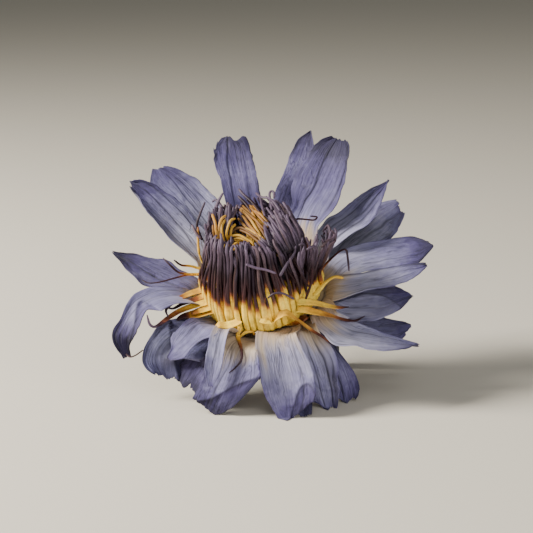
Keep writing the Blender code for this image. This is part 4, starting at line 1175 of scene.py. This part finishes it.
def petal_material(name, pale, middle, deep, night, cream, back, back_share):
    """Papery skin: cream at the foot, then lavender, then indigo at the tip and margin, with fine veins."""
    material, tree, shader = new_material(name)
    flow = add_node(tree, "UVMap", uv_map="flow")[0]
    along, rim, painted_crease_shade, tone = marks_of(tree, "marks")
    under, foot, _, _ = marks_of(tree, "kind")
    fine = streaks(flow, 120.0, 4.0, 3.0, 0.0)
    veins = streaks(flow, 58.0, 2.4, 4.0, 5.0)
    lines = streaks(flow, 22.0, 1.1, 3.0, 13.0)
    bands = streaks(flow, 12.0, 1.4, 3.0, 7.0)
    cloud = streaks(flow, 5.0, 3.5, 3.0, 21.0)
    blot = streaks(flow, 30.0, 22.0, 4.0, 33.0)
    line = abs(lines - 0.5).ramp(0.0, 0.035, 1.0, 0.0)
    wrinkles = abs(streaks(flow, 9.0, 2.2, 3.0, 41.0, 0.7) - 0.5).ramp(0.0, 0.03, 1.0, 0.0)
    wrinkles = wrinkles * bands.ramp(0.45, 0.6)
    ribs = add_node(tree, "SeparateXYZ", flow)[0] * (FLOW_UNIT / RIB_GAP) + lines.swing(5.0)
    ribs = ribs.maths("PINGPONG", 0.5).ramp(0.0, 0.16, 1.0, 0.0) * fine.ramp(0.35, 0.6, 0.2, 1.0)

    # Cream gives way to lavender above the foot, sooner between the veins.
    higher = along + bands.swing(0.5) - foot
    colour = mix(higher.ramp(-0.06, 0.2), cream, pale)
    # Indigo grows towards the tip and the margin, in soft clouds.
    dark = tone + cloud.swing(1.0) + bands.swing(0.4) + blot.swing(0.9) * along.ramp(0.3, 0.9)
    dark = dark + along.ramp(0.76, 1.0) * 0.3 + rim * cloud.ramp(0.35, 0.65, 0.0, 0.4)
    dark = dark * higher.ramp(-0.12, 0.24)
    for start, end, darker in ((0.0, 0.5, middle), (0.5, 1.05, deep), (1.05, 1.7, night)):
        colour = mix(dark.slope(start, end), colour, darker)
    # The foot is tan where it comes out under the stamens: partly its own colour, partly painted shade from
    # them.
    tan_and_painted_shade = (along + lines.swing(0.16) - foot * 0.5).ramp(0.0, 0.18, 1.0, 0.0) * 0.7
    colour = mix(tan_and_painted_shade, colour, (0.33, 0.225, 0.145))
    # Veins and ribs of the skin, and painted shade in the creases, wrinkles and thin crease lines.
    colour = mix(under * back_share, colour, back)
    # Veins, creases, wrinkles and ribs.
    shade = veins.slope(0.3, 0.7, 0.84, 1.13) * fine.slope(0.3, 0.7, 0.86, 1.12)
    for ribs_and_painted_crease_shade in (line * cloud.ramp(0.4, 0.6, 0.1, 0.5), painted_crease_shade * 0.65, wrinkles * 0.32, ribs * 0.13):
        shade = shade * (1.0 - ribs_and_painted_crease_shade)
    height = veins * 0.7 + blot * 0.35 + fine * 0.5 - line * 0.4 - ribs * 0.25 - wrinkles * 0.8
    finish_material(shader, height, 0.6, 0.0003, {
        "Base Color": shaded(colour, shade), "Roughness": cloud.ramp(0.2, 0.8, 0.55, 0.75),
        "Specular IOR Level": 0.25, "Sheen Weight": 0.08, "Sheen Roughness": 0.5})
    return material


def stamen_material(name):
    """Waxy filaments: yellow feet, through rust, to plum. Golden ones inside."""
    material, tree, shader = new_material(name)
    ripe, shade, gold, dusk = marks_of(tree, "marks")
    fine, slow = grain(tree, 900.0, 3.0), grain(tree, 160.0, 2.0)
    ripening = tree.nodes.new("ShaderNodeValToRGB")
    stops = ripening.color_ramp.elements
    while len(stops) < len(RIPENING):
        stops.new(0.5)
    for stop, (at, colour) in zip(stops, RIPENING):
        stop.position = at
        stop.color = (*colour, 1.0)
    put(ripening.inputs[0], ripe + slow.swing(0.3))
    colour = mix(gold * 0.8, Signal(ripening.outputs[0]), (0.42, 0.205, 0.032))
    colour = mix(shade.ramp(0.7, 1.0) * 0.4, colour, (0.12, 0.07, 0.05))
    # Painted shade darkens the colour, down to an eighth of it.
    level = fine.slope(0.3, 0.7, 0.8, 1.14) * dusk.slope(0.0, 1.0, 1.0, 0.12)
    level = level * shade.slope(0.0, 1.0, 0.8, 1.15)
    finish_material(shader, fine, 0.35, 0.0002, {
        "Base Color": shaded(colour, level), "Roughness": 0.5, "Specular IOR Level": 0.22})
    return material


def receptacle_material():
    """Spongy tan skin."""
    material, tree, shader = new_material("receptacle_skin_fine")
    noise = grain(tree, 400.0, 5.0)
    colour = mix(noise.ramp(0.3, 0.7), (0.10, 0.065, 0.03), (0.28, 0.21, 0.11))
    finish_material(shader, noise, 0.8, 0.0006, {"Base Color": colour, "Roughness": 0.8})
    return material


def make_camera():
    """The viewer stands a little above the bloom, straight in front of it."""
    target = BLOOM_CENTRE - CENTRE_OFFSET[0] * VIEW_RIGHT - CENTRE_OFFSET[1] * VIEW_UP
    data = bpy.data.cameras.new("camera")
    data.sensor_width = 36.0
    data.lens = data.sensor_width / 2 * VIEW_DISTANCE / (PICTURE_MIDDLE * PIXEL)
    data.clip_start, data.clip_end = 0.01, 10.0
    camera = add_object("camera", data)
    camera.location = Vector((target - VIEW_DISTANCE * VIEW_AHEAD) * MM)
    camera.rotation_euler = (math.pi / 2 - VIEW_TILT, 0.0, 0.0)
    bpy.context.scene.camera = camera


def make_light(name, place, aim, size, power, colour):
    data = bpy.data.lights.new(name, "AREA")
    data.shape = "DISK"
    data.size = size
    data.energy = power
    data.color = colour
    lamp = add_object(name, data)
    lamp.location = place
    lamp.rotation_mode = "QUATERNION"
    lamp.rotation_quaternion = (Vector(aim) - Vector(place)).to_track_quat("-Z", "Y")


def make_studio():
    """A pale floor, a large soft light from the left and two weak ones in front."""
    mesh = bpy.data.meshes.new("floor")
    mesh.from_pydata([(-4, -3, 0), (4, -3, 0), (4, 5, 0), (-4, 5, 0)], [], [(0, 1, 2, 3)])
    material, _, shader = new_material("pale_floor")
    put(shader.inputs["Base Color"], (0.63, 0.575, 0.475))
    put(shader.inputs["Roughness"], 0.7)
    mesh.materials.append(material)
    add_object("floor", mesh)
    make_light("key", (-0.80, -0.10, 0.62), (0, 0, 0.03), 0.42, 29.0, (1.0, 0.97, 0.92))
    make_light("fill", (0.1, -1.1, 0.8), (0, 0, 0.03), 0.9, 6.5, (0.97, 0.98, 1.0))
    make_light("low_fill", (0.95, -0.85, 0.14), (0, 0, 0.04), 0.6, 9.5, (0.95, 0.96, 1.0))
    world = bpy.data.worlds.new("studio")
    world.use_nodes = True
    background = world.node_tree.nodes["Background"]
    put(background.inputs["Color"], (0.78, 0.80, 0.77))
    put(background.inputs["Strength"], 0.21)
    bpy.context.scene.world = world


make_camera()
make_studio()
petal_skin = petal_material(
    "petal_skin_fine", pale=(0.305, 0.294, 0.392), middle=(0.165, 0.154, 0.275), deep=(0.070, 0.057, 0.150),
    night=(0.017, 0.012, 0.045), cream=(0.46, 0.35, 0.23), back=(0.22, 0.22, 0.27), back_share=0.2)
sepal_skin = petal_material(
    "sepal_skin_fine", pale=(0.295, 0.295, 0.39), middle=(0.160, 0.158, 0.268), deep=(0.068, 0.064, 0.150),
    night=(0.017, 0.013, 0.045), cream=(0.38, 0.31, 0.2), back=(0.10, 0.10, 0.055), back_share=0.8)
make_blades(PETALS, petal_skin, "petal", 1000)
make_blades(SEPALS, sepal_skin, "sepal", 9000)
make_stamens(stamen_material("stamen_skin_dark"), stamen_material("stamen_skin_gold"))
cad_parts["receptacle"].data.materials.clear()
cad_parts["receptacle"].data.materials.append(receptacle_material())
